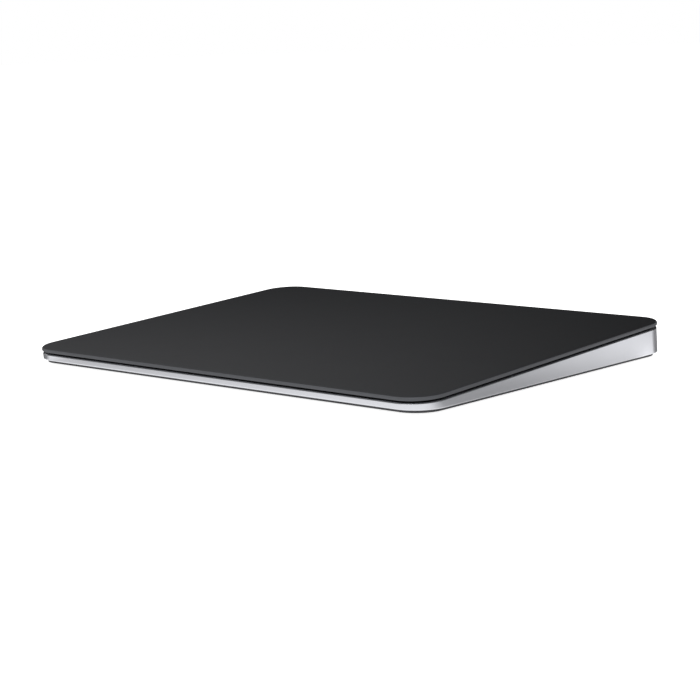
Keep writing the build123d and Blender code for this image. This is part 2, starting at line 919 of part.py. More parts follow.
def make_socket_strap():
    """Steel strap over the socket, screwed through the board on both sides."""
    half_inside = socket_width / 2 + socket_fit
    height = socket_height + socket_fit
    outer = block(
        2 * (half_inside + strap_thickness), strap_width, height + strap_thickness, 0.0, strap_y,
        board_top_z,
    )
    inner = block(2 * half_inside, strap_width + 2 * overrun, height + overrun, 0.0, strap_y,
                  board_top_z - overrun)
    ears = block(2 * strap_half, strap_width, strap_thickness, 0.0, strap_y, board_top_z)
    strap = outer + ears - inner
    for x, y in strap_screw_places:
        strap -= hole_below(x, y, board_top_z + overrun, 2 * overrun)
    return strap


def switch_face_y():
    """Y of the rear wall's outer face at the switch."""
    return wall_y(glass_depth / 2 - shell_inset, socket_z)


def switch_inner_y():
    """Y of the rear wall's inner face at the switch, where the wall is nearest."""
    return wall_y(inner_half_v, socket_z + switch_slot_height / 2 + switch_flange)


switch_x = -(width / 2 - switch_from_side)
switch_travel = switch_slot_length - switch_knob_length - 2 * (switch_bezel_wall + switch_end_gap)
switch_knob_x = switch_x - switch_travel / 2


def make_switch_bezel():
    """Plastic lining of the switch's slot, with a flange behind the wall and a slit for the stem."""
    fit = switch_end_gap / 2
    length = switch_slot_length - 2 * fit
    height = switch_slot_height - 2 * fit
    face_y = switch_face_y() - socket_recess / 2
    inner_y = switch_inner_y() - running_gap / 2
    sleeve = stadium_y(length, height, face_y - inner_y, switch_x, face_y, socket_z)
    flange = stadium_y(
        length + 2 * switch_flange, height + 2 * switch_flange, switch_flange_thickness, switch_x,
        inner_y, socket_z,
    )
    channel = stadium_y(
        length - 2 * (switch_bezel_wall - fit), height - 2 * (switch_bezel_wall - fit),
        switch_bezel_depth + overrun, switch_x, face_y + overrun, socket_z,
    )
    slit = block(
        switch_stem_width + switch_travel + 2 * switch_stem_gap, wall + 4 * overrun,
        switch_stem_height + 2 * switch_stem_gap, switch_x, inner_y,
        socket_z - switch_stem_height / 2 - switch_stem_gap,
    )
    return sleeve + flange - channel - slit


def make_switch_flag():
    """Green marks in the channel's floor, above and below the slit, which show while the power is on."""
    face_y = switch_face_y() - socket_recess / 2
    floor_y = face_y - switch_bezel_depth
    inner_height = switch_slot_height - 2 * switch_bezel_wall
    full = stadium_y(
        switch_slot_length - 2 * switch_bezel_wall - 2 * switch_flag_gap, inner_height - 2 * switch_flag_gap,
        switch_flag_thickness, switch_x, floor_y + switch_flag_thickness, socket_z,
    )
    keep_length = switch_slot_length / 2 - switch_bezel_wall
    right_half = block(
        keep_length, wall, switch_slot_height, switch_x + keep_length / 2, floor_y,
        socket_z - switch_slot_height / 2,
    )
    slit = block(
        switch_stem_width + switch_travel + 2 * switch_stem_gap, wall + 2 * overrun,
        switch_stem_height + 2 * switch_stem_gap, switch_x, floor_y,
        socket_z - switch_stem_height / 2 - switch_stem_gap,
    )
    return (full & right_half) - slit


def make_switch_knob():
    """Sliding knob: a grooved head in the slot, and a stem that reaches into the switch."""
    face_y = switch_face_y()
    recessed_y = face_y - socket_recess / 2
    head_height = switch_slot_height - 2 * (switch_bezel_wall + switch_knob_gap)
    back_y = recessed_y - switch_bezel_depth + switch_flag_thickness + switch_knob_gap
    front_y = face_y + switch_knob_proud
    head = stadium_y(switch_knob_length, head_height, front_y - back_y, switch_knob_x, front_y, socket_z)
    stem_end = switch_inner_y() - switch_flange_thickness - switch_stem_reach
    stem = block(
        switch_stem_width, back_y - stem_end + knob_groove_depth, switch_stem_height, switch_knob_x,
        (back_y + stem_end + knob_groove_depth) / 2, socket_z - switch_stem_height / 2,
    )
    knob = head + stem
    pitch = (switch_knob_length - head_height) / knob_grooves
    for step in range(knob_grooves):
        x = switch_knob_x + (step - (knob_grooves - 1) / 2) * pitch
        knob -= block(
            knob_groove_width, 2 * knob_groove_depth, head_height + 2 * overrun, x, front_y,
            socket_z - head_height / 2 - overrun,
        )
    return knob


def make_switch_housing():
    """Slide switch on the logic board, with a slit that the knob's stem moves in."""
    front_y = switch_inner_y() - running_gap / 2 - switch_flange_thickness - running_gap / 2
    housing = on_board(
        switch_housing_width, switch_housing_depth, switch_housing_height, switch_x,
        front_y - switch_housing_depth / 2,
    )
    slit = block(
        switch_stem_width + switch_travel + 2 * switch_stem_gap,
        2 * (switch_stem_reach + switch_stem_gap),
        switch_stem_height + 2 * switch_stem_gap, switch_x, front_y,
        socket_z - switch_stem_height / 2 - switch_stem_gap,
    )
    return housing - slit


def aerial_place():
    """Middle of the aerial's carrier."""
    return (
        strip_left_end - aerial_gap / 2 - aerial_length / 2,
        wall_y(inner_half_v, floor_z + aerial_height) - board_wall_gap / 2 - aerial_depth / 2,
    )


def make_aerial_carrier():
    """Plastic block that holds the aerial beside the rear wall."""
    x, y = aerial_place()
    return block(aerial_length, aerial_depth, aerial_height, x, y, floor_z)


def make_aerial_trace():
    """Copper aerial on top of its carrier: three bars joined in a zigzag."""
    x, y = aerial_place()
    z = floor_z + aerial_height
    long_bar = aerial_length - 2 * aerial_trace_width
    trace = block(long_bar, aerial_trace_width, aerial_trace_thickness, x, y + aerial_depth / 2
                  - aerial_trace_width, z)
    trace += block(
        aerial_trace_width, aerial_depth - aerial_trace_width, aerial_trace_thickness,
        x - long_bar / 2 + aerial_trace_width / 2, y, z,
    )
    short_bar = aerial_short_bar_share * long_bar
    return trace + block(
        short_bar, aerial_trace_width, aerial_trace_thickness, x - (long_bar - short_bar) / 2,
        y - aerial_depth / 2 + aerial_trace_width, z,
    )


def make_battery_ribbon():
    """Flat cable from the protection board to the logic board."""
    size_x, size_y, x, y = connector_places()["battery"]
    start = battery_board_x()
    end = x + size_x / 2
    return block(
        end - start, size_y, ribbon_thickness, (start + end) / 2, y,
        battery_board_z + battery_board_thickness,
    )


def make_haptic_ribbon():
    """Flat cable from the haptic engine's bracket, along the floor and up to the logic board."""
    size_x, size_y, x, y = connector_places()["haptic"]
    rear_v = station(y + size_y / 2, floor_z)
    start_z = plate_z + rear_v * sin_t - bracket_drop * cos_t + ribbon_thickness
    high = board_top_z + connector_height + ribbon_thickness / 2
    floor = floor_z + ribbon_thickness
    rise = wing_left - 4 * ribbon_bend
    start_x = bracket_half_u - bracket_margin / 2
    points = [
        (start_x, y, start_z),
        (start_x + bracket_ear, y, start_z),
        (start_x + bracket_ear + 3 * ribbon_bend, y, floor),
        (rise - 2 * ribbon_bend, y, floor),
        (rise + ribbon_bend, y, high),
        (x + size_x / 2, y, high),
    ]
    return ribbon(points, haptic_ribbon_width, ribbon_bend)


def make_sensor_ribbon():
    """Flat cable that links the moving sensor board to the logic board in one loose fold."""
    size_x, _, x, y = connector_places()["sensor"]
    window_u, _, window_x, v = sensor_window()
    low = board_top_z + connector_height + ribbon_thickness / 2
    high_drop = stiffener_drop + connector_height
    high = plate_z + v * sin_t - high_drop * cos_t - ribbon_thickness - running_gap
    left = window_x - window_u / 2 + running_gap
    points = [
        (left, y, high),
        (x - size_x / 2 - 2 * ribbon_bend, y, high),
        (x - size_x / 2 - ribbon_bend, y, low),
        (x + size_x / 2, y, low),
    ]
    return ribbon(points, sensor_ribbon_width, ribbon_bend / 4)


def make_gauge_ribbons():
    """Flat cables on the rails. Each links the front and rear gauges of one side."""
    u = flexure_outer_u - gauge_ribbon_width / 2
    half_v = flexure_v - flexure_width / 2 - running_gap / 2
    drop = rail_drop - ribbon_thickness
    return group(
        slab(gauge_ribbon_width, 2 * half_v, 0.0, drop, ribbon_thickness, side * u) for side in (-1, 1)
    )


def all_parts():
    """Every sub-part, by its node's name."""
    feet = foot_places()
    parts = {
        "glass_plate": make_glass_plate(),
        "glass_frame": make_glass_frame(),
        "glass_bond": make_glass_bond(),
        "sensor_board": make_sensor_board(),
        "sensor_connector": make_sensor_connector(),
        "stiffener_plate": make_stiffener_plate(),
        "haptic_armature": make_armature(),
        "flexure_caps": make_flexure_caps(),
        "gel_pads": make_gel_pads(),
        "flexure_screws": make_flexure_screws(),
        "strain_gauges": make_strain_gauges(),
        "haptic_bracket": make_haptic_bracket(),
        "haptic_screws": make_haptic_screws(),
        "haptic_core_left": make_haptic_core(-1),
        "haptic_core_right": make_haptic_core(1),
        "enclosure": make_enclosure(),
        "bottom_cover": make_bottom_cover(),
        "cover_bond": make_cover_bond(),
        "battery_cell": make_battery_cell(),
        "battery_glue": make_battery_glue(),
        "battery_board": make_battery_board(),
        "battery_tabs": make_battery_tabs(),
        "battery_board_rest": make_battery_board_rest(),
        "battery_ribbon": make_battery_ribbon(),
        "logic_board": make_logic_board(),
        "radio_shield": make_radio_shield(),
        "radio_chip": make_radio_chip(),
        "board_capacitors": make_capacitors(),
        "board_connectors": make_board_connectors(),
        "board_screws": make_board_screws(),
        "socket_shell": make_socket_shell(),
        "socket_tongue": make_socket_tongue(),
        "socket_contacts": make_socket_contacts(),
        "socket_strap": make_socket_strap(),
        "switch_bezel": make_switch_bezel(),
        "switch_flag": make_switch_flag(),
        "switch_knob": make_switch_knob(),
        "switch_housing": make_switch_housing(),
        "aerial_carrier": make_aerial_carrier(),
        "aerial_trace": make_aerial_trace(),
        "haptic_ribbon": make_haptic_ribbon(),
        "sensor_ribbon": make_sensor_ribbon(),
        "gauge_ribbons": make_gauge_ribbons(),
    }
    for name, (side, end) in corners.items():
        parts[f"flexure_{name}"] = make_flexure(side, end)
        parts[f"foot_{name}"] = make_foot(*feet[name])
    front_leg, rear_leg = core_leg_places()
    for name, side, v in (
        ("front_left", -1, front_leg),
        ("rear_left", -1, rear_leg),
        ("front_right", 1, front_leg),
        ("rear_right", 1, rear_leg),
    ):
        parts[f"haptic_coil_{name}"] = make_haptic_coil(side, v)
    for name, (size_x, size_y) in chip_sizes.items():
        parts[name] = make_chip(size_x, size_y, chip_x(name))
    return parts


def main():
    """Builds every sub-part and writes one STEP file for each."""
    os.makedirs("parts", exist_ok=True)
    for name, shape in all_parts().items():
        export_step(shape, f"parts/{name}.step")


if __name__ == "__main__":
    main()
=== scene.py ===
"""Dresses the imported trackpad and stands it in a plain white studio.

Lengths are in metres, in the part's own frame: +X is the user's right, +Y points away from the user, and the
feet stand on z = 0. Colours are named as they look, each channel on the usual scale of 0 to 255. The glass
slopes, and what is built square to it uses plate coordinates: along +X, up the slope, and height above the
glass's top face.
"""
import json
import logging
import math
from collections.abc import Iterable, Sequence
from dataclasses import dataclass, field
from enum import Enum
from functools import cache

import bmesh
import bpy
from mathutils import Matrix, Vector

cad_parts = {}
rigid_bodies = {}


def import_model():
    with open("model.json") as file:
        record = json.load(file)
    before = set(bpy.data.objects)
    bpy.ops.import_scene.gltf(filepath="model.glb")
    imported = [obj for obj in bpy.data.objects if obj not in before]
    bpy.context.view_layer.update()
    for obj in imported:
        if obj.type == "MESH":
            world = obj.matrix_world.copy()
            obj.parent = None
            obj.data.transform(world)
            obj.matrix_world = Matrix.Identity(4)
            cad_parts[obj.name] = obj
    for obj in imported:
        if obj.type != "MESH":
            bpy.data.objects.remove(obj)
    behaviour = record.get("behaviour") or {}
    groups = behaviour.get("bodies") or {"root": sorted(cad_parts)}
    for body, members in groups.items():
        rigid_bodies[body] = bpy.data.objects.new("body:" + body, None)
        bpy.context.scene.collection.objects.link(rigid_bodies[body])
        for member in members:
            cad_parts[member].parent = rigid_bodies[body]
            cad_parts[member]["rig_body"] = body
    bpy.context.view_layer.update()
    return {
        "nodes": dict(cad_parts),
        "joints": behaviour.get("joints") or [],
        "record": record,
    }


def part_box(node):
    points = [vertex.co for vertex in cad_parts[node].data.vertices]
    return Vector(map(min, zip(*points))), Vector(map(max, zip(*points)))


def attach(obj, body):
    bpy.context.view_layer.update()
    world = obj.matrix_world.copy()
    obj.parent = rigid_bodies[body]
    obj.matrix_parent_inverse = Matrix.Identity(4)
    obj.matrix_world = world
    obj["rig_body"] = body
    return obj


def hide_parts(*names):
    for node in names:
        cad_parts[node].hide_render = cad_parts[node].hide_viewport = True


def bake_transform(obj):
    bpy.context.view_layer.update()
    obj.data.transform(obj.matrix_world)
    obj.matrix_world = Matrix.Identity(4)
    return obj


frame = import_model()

Colour = tuple[float, float, float]
Socket = bpy.types.NodeSocket
log = logging.getLogger("trackpad")

MILLIMETRE = 0.001
SAME_POINT = 1e-6
ROW_DIGITS, PLACE_DIGITS = 4, 6
RIGHT = Vector((1, 0, 0))
UPRIGHT = Vector((0, 0, 1))

# The usual curve from a colour's scale to light
FULL_CHANNEL = 255
STRAIGHT_END, STRAIGHT_SLOPE = 0.04045, 12.92
CURVE_SHIFT, CURVE_POWER = 0.055, 2.4

# How surfaces stray from even
BRUSH_STRETCH = (0.06, 1.0, 1.0)
CREASES, RUNS, PATCHES = (0.35, 0.65), (0.28, 0.34), (0.3, 0.7)
RELIEF_IN_TINT = 0.35
PATCHES_IN_BLOTCH = 3
FINE_DETAIL = 4.0

# How edges are told from round faces, in degrees, and how they are eased
SHARP_ANGLE = 32.0
FLAT_ANGLE, EASED_ANGLE = 1.0, 40.0
EASE_SEGMENTS = 2

# How finely the grown pieces are made
WIRE_SIDES, FILLET_STEPS = 8, 4

# Sockets that share their names with others of their node
MIX_SHARE, MIX_FIRST, MIX_SECOND, MIXED_COLOUR = 0, 6, 7, 2
RANDOM_NUMBER = 1


def light_of(colour: Colour, opacity: float = 1.0) -> tuple[float, float, float, float]:
    """Turns a colour from its usual scale into light.

    Args:
        colour: the red, green and blue channels, 0 to 255.
        opacity: the fourth channel.

    Returns:
        The colour as linear light, with its opacity.
    """
    def channel(level: float) -> float:
        """Turns one channel into light.

        Args:
            level: the channel, 0 to 255.

        Returns:
            The channel as linear light.
        """
        share = level / FULL_CHANNEL
        if share <= STRAIGHT_END:
            return share / STRAIGHT_SLOPE
        return ((share + CURVE_SHIFT) / (1 + CURVE_SHIFT)) ** CURVE_POWER

    red, green, blue = (channel(level) for level in colour)
    return red, green, blue, opacity


class Tree:
    """A node tree under construction."""

    def __init__(self, tree: bpy.types.NodeTree) -> None:
        """Starts with an empty tree."""
        self.tree = tree
        self.tree.nodes.clear()

    def add(self, kind: str, inputs: dict | None = None, **settings: object) -> bpy.types.Node:
        """Adds a node.

        Args:
            kind: Blender's name of the node's type.
            inputs: socket name or number, to a value or to another node's output.
            settings: the node's own attributes.

        Returns:
            The new node.
        """
        node = self.tree.nodes.new(kind)
        for name, value in settings.items():
            setattr(node, name, value)
        for key, value in (inputs or {}).items():
            if isinstance(value, Socket):
                self.tree.links.new(value, node.inputs[key])
            else:
                node.inputs[key].default_value = value
        return node

    def out(self, kind: str, inputs: dict | None = None, **settings: object) -> Socket:
        """Adds a node in the same way, and gives its first output."""
        return self.add(kind, inputs, **settings).outputs[0]

    def maths(self, operation: str, *values: object) -> Socket:
        """One sum on numbers or outputs."""
        return self.out("ShaderNodeMath", dict(enumerate(values)), operation=operation)

    def times(self, first: object, second: object) -> Socket:
        """One number times another."""
        return self.maths("MULTIPLY", first, second)

    def minus(self, first: object, second: object) -> Socket:
        """One number less another."""
        return self.maths("SUBTRACT", first, second)

    def vector_maths(self, operation: str, *values: object, output: str = "Vector") -> Socket:
        """One sum on vectors."""
        node = self.add("ShaderNodeVectorMath", dict(enumerate(values)), operation=operation)
        return node.outputs[output]

    def ramp(self, value: object, low: float, high: float, start: object = 0.0, end: object = 1.0,
             smooth: bool = True) -> Socket:
        """Maps a number from one range to another, and holds it at the ends.

        Args:
            value: what is mapped.
            low: the value that gives start.
            high: the value that gives end.
            start: the result at low.
            end: the result at high.
            smooth: whether the ends ease in and out.

        Returns:
            The mapped number.
        """
        return self.out(
            "ShaderNodeMapRange", {0: value, 1: low, 2: high, 3: start, 4: end},
            interpolation_type="SMOOTHSTEP" if smooth else "LINEAR",
        )

    def within(self, limits: Iterable[tuple[Socket, Sequence[float]]], most: object = 1.0) -> Socket:
        """Works out how far each place lies inside soft limits.

        Args:
            limits: each one's measure, with the value where it begins and the one where it is passed.
            most: the result where all are passed.

        Returns:
            The result, 0 wherever one limit isn't reached.
        """
        for measure, (begins, full) in limits:
            most = self.times(most, self.ramp(measure, begins, full))
        return most

    def vector(self, **parts: object) -> Socket:
        """A vector from numbers or outputs named X, Y and Z."""
        return self.out("ShaderNodeCombineXYZ", parts)

    def parts(self, vector: Socket) -> bpy.types.NodeOutputs:
        """The numbers X, Y and Z of a vector."""
        return self.add("ShaderNodeSeparateXYZ", {0: vector}).outputs

    def place(self) -> Socket:
        """Each shaded point's place in the part's frame."""
        return self.add("ShaderNodeTexCoord").outputs["Object"]

    def noise(self, place: Socket, size: float, detail: float = 2.0) -> Socket:
        """Cloudy noise whose patches have about the given size, in metres."""
        return self.out("ShaderNodeTexNoise", {"Vector": place, "Scale": 1 / size, "Detail": detail})

    def tint(self, share: Socket, first: Sequence[float], second: Sequence[float]) -> Socket:
        """Blends two colours.

        Args:
            share: how much of the second colour there is.
            first: the colour at share 0.
            second: the colour at share 1.

        Returns:
            The blended colour.
        """
        node = self.add("ShaderNodeValToRGB", {"Fac": share})
        node.color_ramp.elements[0].color = first
        node.color_ramp.elements[1].color = second
        return node.outputs["Color"]


class Relief(Enum):
    """How the fine relief of a surface lies."""

    SPECKLED = "even fine speckle, as on blasted or moulded faces"
    BRUSHED = "short scratches along X, as on rolled or ground faces"
    WRINKLED = "soft creases, as on pouch foil"
    POROUS = "open cells, as on foam"
    ETCHED = "straight runs and pads, as under solder resist"


@dataclass(frozen=True)
class Finish:
    """How a surface looks and how it has worn. A swing is a share by which a value strays from its mean."""

    colour: Colour
    roughness: float
    metallic: float = 0.0
    relief: Relief = Relief.SPECKLED
    grain: float = 0.25 * MILLIMETRE
    height: float = 0.006 * MILLIMETRE
    blotch: float = 18 * MILLIMETRE
    tint_swing: float = 0.07
    roughness_swing: float = 0.14
    specular: float = 0.5
    mirror_tint: tuple[float, float, float] = (1.0, 1.0, 1.0)
    transmission: float = 0.0

    def build(self, name: str) -> bpy.types.Material:
        """Builds the material.

        Args:
            name: the material's name.

        Returns:
            The material.
        """
        material = bpy.data.materials.new(name)
        material.use_nodes = True
        tree = Tree(material.node_tree)
        place = tree.place()
        relief = self.relief_height(tree, place)
        bump = tree.out("ShaderNodeBump", {"Strength": 1.0, "Distance": self.height, "Height": relief})
        shader = tree.out("ShaderNodeBsdfPrincipled", {
            "Base Color": self.tinted(tree, place, relief),
            "Roughness": self.roughened(tree, place, relief),
            "Metallic": self.metallic,
            "Specular IOR Level": self.specular,
            "Specular Tint": (*self.mirror_tint, 1.0),
            "Transmission Weight": self.transmission,
            "Normal": bump,
        })
        tree.add("ShaderNodeOutputMaterial", {"Surface": shader})
        material.diffuse_color = light_of(self.colour)
        return material

    def relief_height(self, tree: Tree, place: Socket) -> Socket:
        """Works out how high the fine relief is.

        Args:
            tree: the material's tree.
            place: where the surface is.

        Returns:
            The height, 0 to 1.
        """
        if self.relief is Relief.BRUSHED:
            return tree.noise(tree.vector_maths("MULTIPLY", place, BRUSH_STRETCH), self.grain)
        if self.relief is Relief.WRINKLED:
            return tree.ramp(tree.noise(place, self.grain, FINE_DETAIL), *CREASES)
        cells = {"Vector": place, "Scale": 1 / self.grain}
        if self.relief is Relief.POROUS:
            return tree.out("ShaderNodeTexVoronoi", cells)
        if self.relief is Relief.ETCHED:
            return tree.ramp(tree.out("ShaderNodeTexVoronoi", cells, distance="CHEBYCHEV"), *RUNS)
        return tree.noise(place, self.grain)

    def tinted(self, tree: Tree, place: Socket, relief: Socket) -> Socket:
        """Works out the colour, which strays slowly over the surface and a little with the relief.

        Args:
            tree: the material's tree.
            place: where the surface is.
            relief: how high its fine relief is.

        Returns:
            The colour.
        """
        slow = tree.times(tree.noise(place, self.blotch), 1 - RELIEF_IN_TINT)
        share = tree.maths("MULTIPLY_ADD", relief, RELIEF_IN_TINT, slow)
        low, high = (
            [channel * (1 + sign * self.tint_swing) for channel in light_of(self.colour)[:3]] + [1.0]
            for sign in (-1, 1)
        )
        return tree.tint(share, low, high)

    def roughened(self, tree: Tree, place: Socket, relief: Socket) -> Socket:
        """Works out the roughness, with slow patches such as handling leaves.

        Args:
            tree: the material's tree.
            place: where the surface is.
            relief: how high its fine relief is.

        Returns:
            The roughness.
        """
        patches = tree.noise(place, self.blotch / PATCHES_IN_BLOTCH, FINE_DETAIL)
        swing = self.roughness * self.roughness_swing
        return tree.ramp(patches, *PATCHES, self.roughness - swing, self.roughness + swing)


@dataclass(frozen=True)
class PlateFrame:
    """Coordinates square to the glass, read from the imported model."""

    centre: Vector
    slope: Vector
    normal: Vector

    @classmethod
    def read(cls) -> "PlateFrame":
        """Reads the glass's slope from the press joint, and its centre from the glass itself.

        Returns:
            The frame, with its origin at the middle of the glass's top face.
        """
        axis = next(joint["axis"] for joint in frame["joints"] if joint["name"] == "plate_press")
        normal = Vector(axis).normalized()
        slope = normal.cross(RIGHT)
        points = [vertex.co for vertex in frame["nodes"]["glass_plate"].data.vertices]
        along = [point.dot(slope) for point in points]
        middle = (min(along) + max(along)) / 2
        top = max(point.dot(normal) for point in points)
        return cls(middle * slope + top * normal, slope, normal)

    def matrix(self) -> Matrix:
        """Gives the change from plate coordinates to the part's frame.

        Returns:
            The matrix, for places along +X, up the slope and above the glass.
        """
        columns = (RIGHT, self.slope, self.normal, self.centre)
        rows = [[column[row] for column in columns] for row in range(3)]
        return Matrix(rows + [[0, 0, 0, 1]])

    def extent(self, node: str) -> tuple[Vector, Vector]:
        """Measures a node square to the glass.

        Args:
            node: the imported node.

        Returns:
            Its lowest and highest corner in plate coordinates.
        """
        inverse = self.matrix().inverted()
        points = [inverse @ vertex.co for vertex in frame["nodes"][node].data.vertices]
        low, high = (
            Vector([pick(point[axis] for point in points) for axis in range(3)]) for pick in (min, max)
        )
        return low, high


PLATE = PlateFrame.read()


@dataclass(frozen=True)
class SatinGlass(Finish):
    """Etched black glass with ground edges that scatter more light than its face does, their grey lightened
    further as a painted sheen.
    """

    # The ground edge's own grey, made lighter to paint in the sheen that its chamfer catches
    ground_edge_and_sheen_colour: Colour = (86, 87, 90)
    edge_start: float = 0.02 * MILLIMETRE
    edge_full: float = 0.12 * MILLIMETRE

    def tinted(self, tree: Tree, place: Socket, relief: Socket) -> Socket:
        """Works out the face's colour, which turns into the edge's below the top face: the ground glass's own
        grey, lightened as painted sheen.

        Args:
            tree: the material's tree.
            place: where the surface is.
            relief: how high its fine relief is.

        Returns:
            The colour.
        """
        face = super().tinted(tree, place, relief)
        level = tree.vector_maths("DOT_PRODUCT", place, PLATE.normal, output="Value")
        top = PLATE.centre.dot(PLATE.normal)
        edge = tree.ramp(level, top - self.edge_start, top - self.edge_full)
        mix = tree.add("ShaderNodeMix", {
            MIX_SHARE: edge, MIX_FIRST: face, MIX_SECOND: light_of(self.ground_edge_and_sheen_colour),
        }, data_type="RGBA")
        return mix.outputs[MIXED_COLOUR]


@dataclass(frozen=True)
class BlastedAluminium(Finish):
    """Bead-blasted and anodised aluminium, a little polished by handling along its edges."""

    polish: float = 0.12
    polish_reach: float = 0.35 * MILLIMETRE
    polish_patch: float = 4 * MILLIMETRE

    def roughened(self, tree: Tree, place: Socket, relief: Socket) -> Socket:
        """Works out the roughness, less beside the tray's rim and its lower edge, where hands lift it.

        Args:
            tree: the material's tree.
            place: where the surface is.
            relief: how high its fine relief is.

        Returns:
            The roughness.
        """
        base = super().roughened(tree, place, relief)
        level = tree.vector_maths("DOT_PRODUCT", place, PLATE.normal, output="Value")
        rim = PLATE.extent("enclosure")[1].z + PLATE.centre.dot(PLATE.normal)
        beside_rim = tree.ramp(level, rim - self.polish_reach, rim)
        height = tree.parts(place)["Z"]
        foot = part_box("enclosure")[0].z
        beside_foot = tree.ramp(height, foot + self.polish_reach, foot)
        handled = tree.maths("MAXIMUM", beside_rim, beside_foot)
        worn = tree.times(handled, tree.noise(place, self.polish_patch))
        return tree.maths("MULTIPLY_ADD", worn, -self.polish, base)


FINISHES: dict[str, Finish] = {
    "glass_black": SatinGlass((20, 20, 22), 0.46, grain=0.12 * MILLIMETRE, height=0.0012 * MILLIMETRE,
                              blotch=60 * MILLIMETRE, tint_swing=0.04, roughness_swing=0.012,
                              specular=0.58, mirror_tint=(0.86, 0.9, 1.0)),
    "rim_black": Finish((16, 16, 17), 0.7),
    "adhesive": Finish((70, 70, 72), 0.4, height=0.002 * MILLIMETRE),
    "board_dark": Finish((24, 44, 38), 0.38, relief=Relief.ETCHED, grain=2.4 * MILLIMETRE),
    "plain_steel": Finish((186, 187, 190), 0.36, 1.0, Relief.BRUSHED),
    "spring_steel": Finish((178, 179, 183), 0.27, 1.0, Relief.BRUSHED),
    "screw_steel": Finish((120, 121, 124), 0.32, 1.0, grain=0.12 * MILLIMETRE),
    "silicone": Finish((190, 198, 205), 0.45, transmission=0.25),
    "foil": Finish((176, 122, 58), 0.3, grain=1.1 * MILLIMETRE, relief=Relief.ETCHED),
    "winding": Finish((168, 92, 48), 0.34, 0.85),
    "bare_aluminium": BlastedAluminium((224, 225, 230), 0.3, 1.0, grain=0.1 * MILLIMETRE,
                                       height=0.0006 * MILLIMETRE, blotch=30 * MILLIMETRE, tint_swing=0.02,
                                       roughness_swing=0.05),
    "cover_dark": Finish((70, 70, 73), 0.62, grain=0.18 * MILLIMETRE, height=0.008 * MILLIMETRE),
    "foot_rubber": Finish((78, 78, 80), 0.78, grain=0.15 * MILLIMETRE, height=0.008 * MILLIMETRE),
    "battery_wrap": Finish((92, 93, 96), 0.34, 0.7, Relief.WRINKLED, grain=9 * MILLIMETRE,
                           height=0.12 * MILLIMETRE),
    "nickel": Finish((198, 193, 184), 0.3, 1.0, Relief.BRUSHED),
    "foam": Finish((60, 60, 62), 0.92, relief=Relief.POROUS, grain=0.5 * MILLIMETRE, height=0.1 * MILLIMETRE),
    "chip_black": Finish((34, 34, 36), 0.55, grain=0.1 * MILLIMETRE),
    "ceramic": Finish((168, 140, 112), 0.5, grain=0.1 * MILLIMETRE),
    "connector_plastic": Finish((44, 44, 45), 0.5),
    "socket_steel": Finish((190, 190, 193), 0.24, 1.0, Relief.BRUSHED, grain=0.2 * MILLIMETRE,
                           height=0.002 * MILLIMETRE),
    "socket_plastic": Finish((30, 30, 31), 0.48),
    "gilt": Finish((226, 190, 116), 0.24, 1.0, grain=0.1 * MILLIMETRE, height=0.001 * MILLIMETRE),
    "copper": Finish((206, 142, 108), 0.3, 1.0, grain=0.2 * MILLIMETRE, height=0.002 * MILLIMETRE),
    "knob_aluminium": Finish((204, 204, 208), 0.34, 1.0, grain=0.1 * MILLIMETRE, height=0.0012 * MILLIMETRE),
    "bezel_black": Finish((34, 34, 35), 0.3, grain=0.2 * MILLIMETRE, height=0.002 * MILLIMETRE),
    "flag_green": Finish((58, 178, 84), 0.36, grain=0.2 * MILLIMETRE, height=0.002 * MILLIMETRE),
}


class Shelf:
    """The materials, each built once, and the record's slot of each node."""

    def __init__(self) -> None:
        """Reads which slot each node takes."""
        self.built: dict[str, bpy.types.Material] = {}
        self.slot_of = {row["node"]: row["material_slot"] for row in frame["record"]["subparts"]}

    def material(self, slot: str) -> bpy.types.Material:
        """Finds the material of a slot, and builds it the first time.

        Args:
            slot: the record's name of the slot.

        Returns:
            The material.
        """
        if slot not in self.built:
            self.built[slot] = FINISHES[slot].build(slot)
        return self.built[slot]

    def dress_nodes(self) -> None:
        """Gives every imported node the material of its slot."""
        for name, node in frame["nodes"].items():
            node.data.materials.clear()
            node.data.materials.append(self.material(self.slot_of[name]))


@dataclass(frozen=True)
class Ring:
    """One ring of a lofted plate: how far it is drawn in from the outline, and its height."""

    inset: float
    height: float


def softened(rings: Sequence[Ring], radius: float, steps: int = 4) -> list[Ring]:
    """Rounds the corners of an edge's profile.

    Args:
        rings: the profile's corners, in order.
        radius: how far from each corner the rounding starts.
        steps: how many stretches each rounding has.

    Returns:
        The profile with its inner corners rounded. Its two ends stay.
    """
    points = [Vector((ring.inset, ring.height)) for ring in rings]
    made = [rings[0]]
    for before, corner, after in zip(points, points[1:], points[2:]):
        start = corner + (before - corner).normalized() * radius
        end = corner + (after - corner).normalized() * radius
        for step in range(steps + 1):
            share = step / steps
            point = (1 - share) ** 2 * start + 2 * share * (1 - share) * corner + share ** 2 * end
            made.append(Ring(point.x, point.y))
    return made + [rings[-1]]


def rounded_outline(width: float, depth: float, radius: float, steps: int) -> list[Vector]:
    """Walks round a rectangle with round corners, anticlockwise from its right-hand side.

    Args:
        width: size along the first axis.
        depth: size along the second.
        radius: the corners' radius.
        steps: stretches in each corner.

    Returns:
        The points on the way.
    """
    points = []
    for quarter, (side, end) in enumerate(((1, 1), (-1, 1), (-1, -1), (1, -1))):
        centre = Vector((side * (width / 2 - radius), end * (depth / 2 - radius)))
        for step in range(steps + 1):
            angle = math.radians(90) * (quarter + step / steps)
            points.append(centre + radius * Vector((math.cos(angle), math.sin(angle))))
    return points


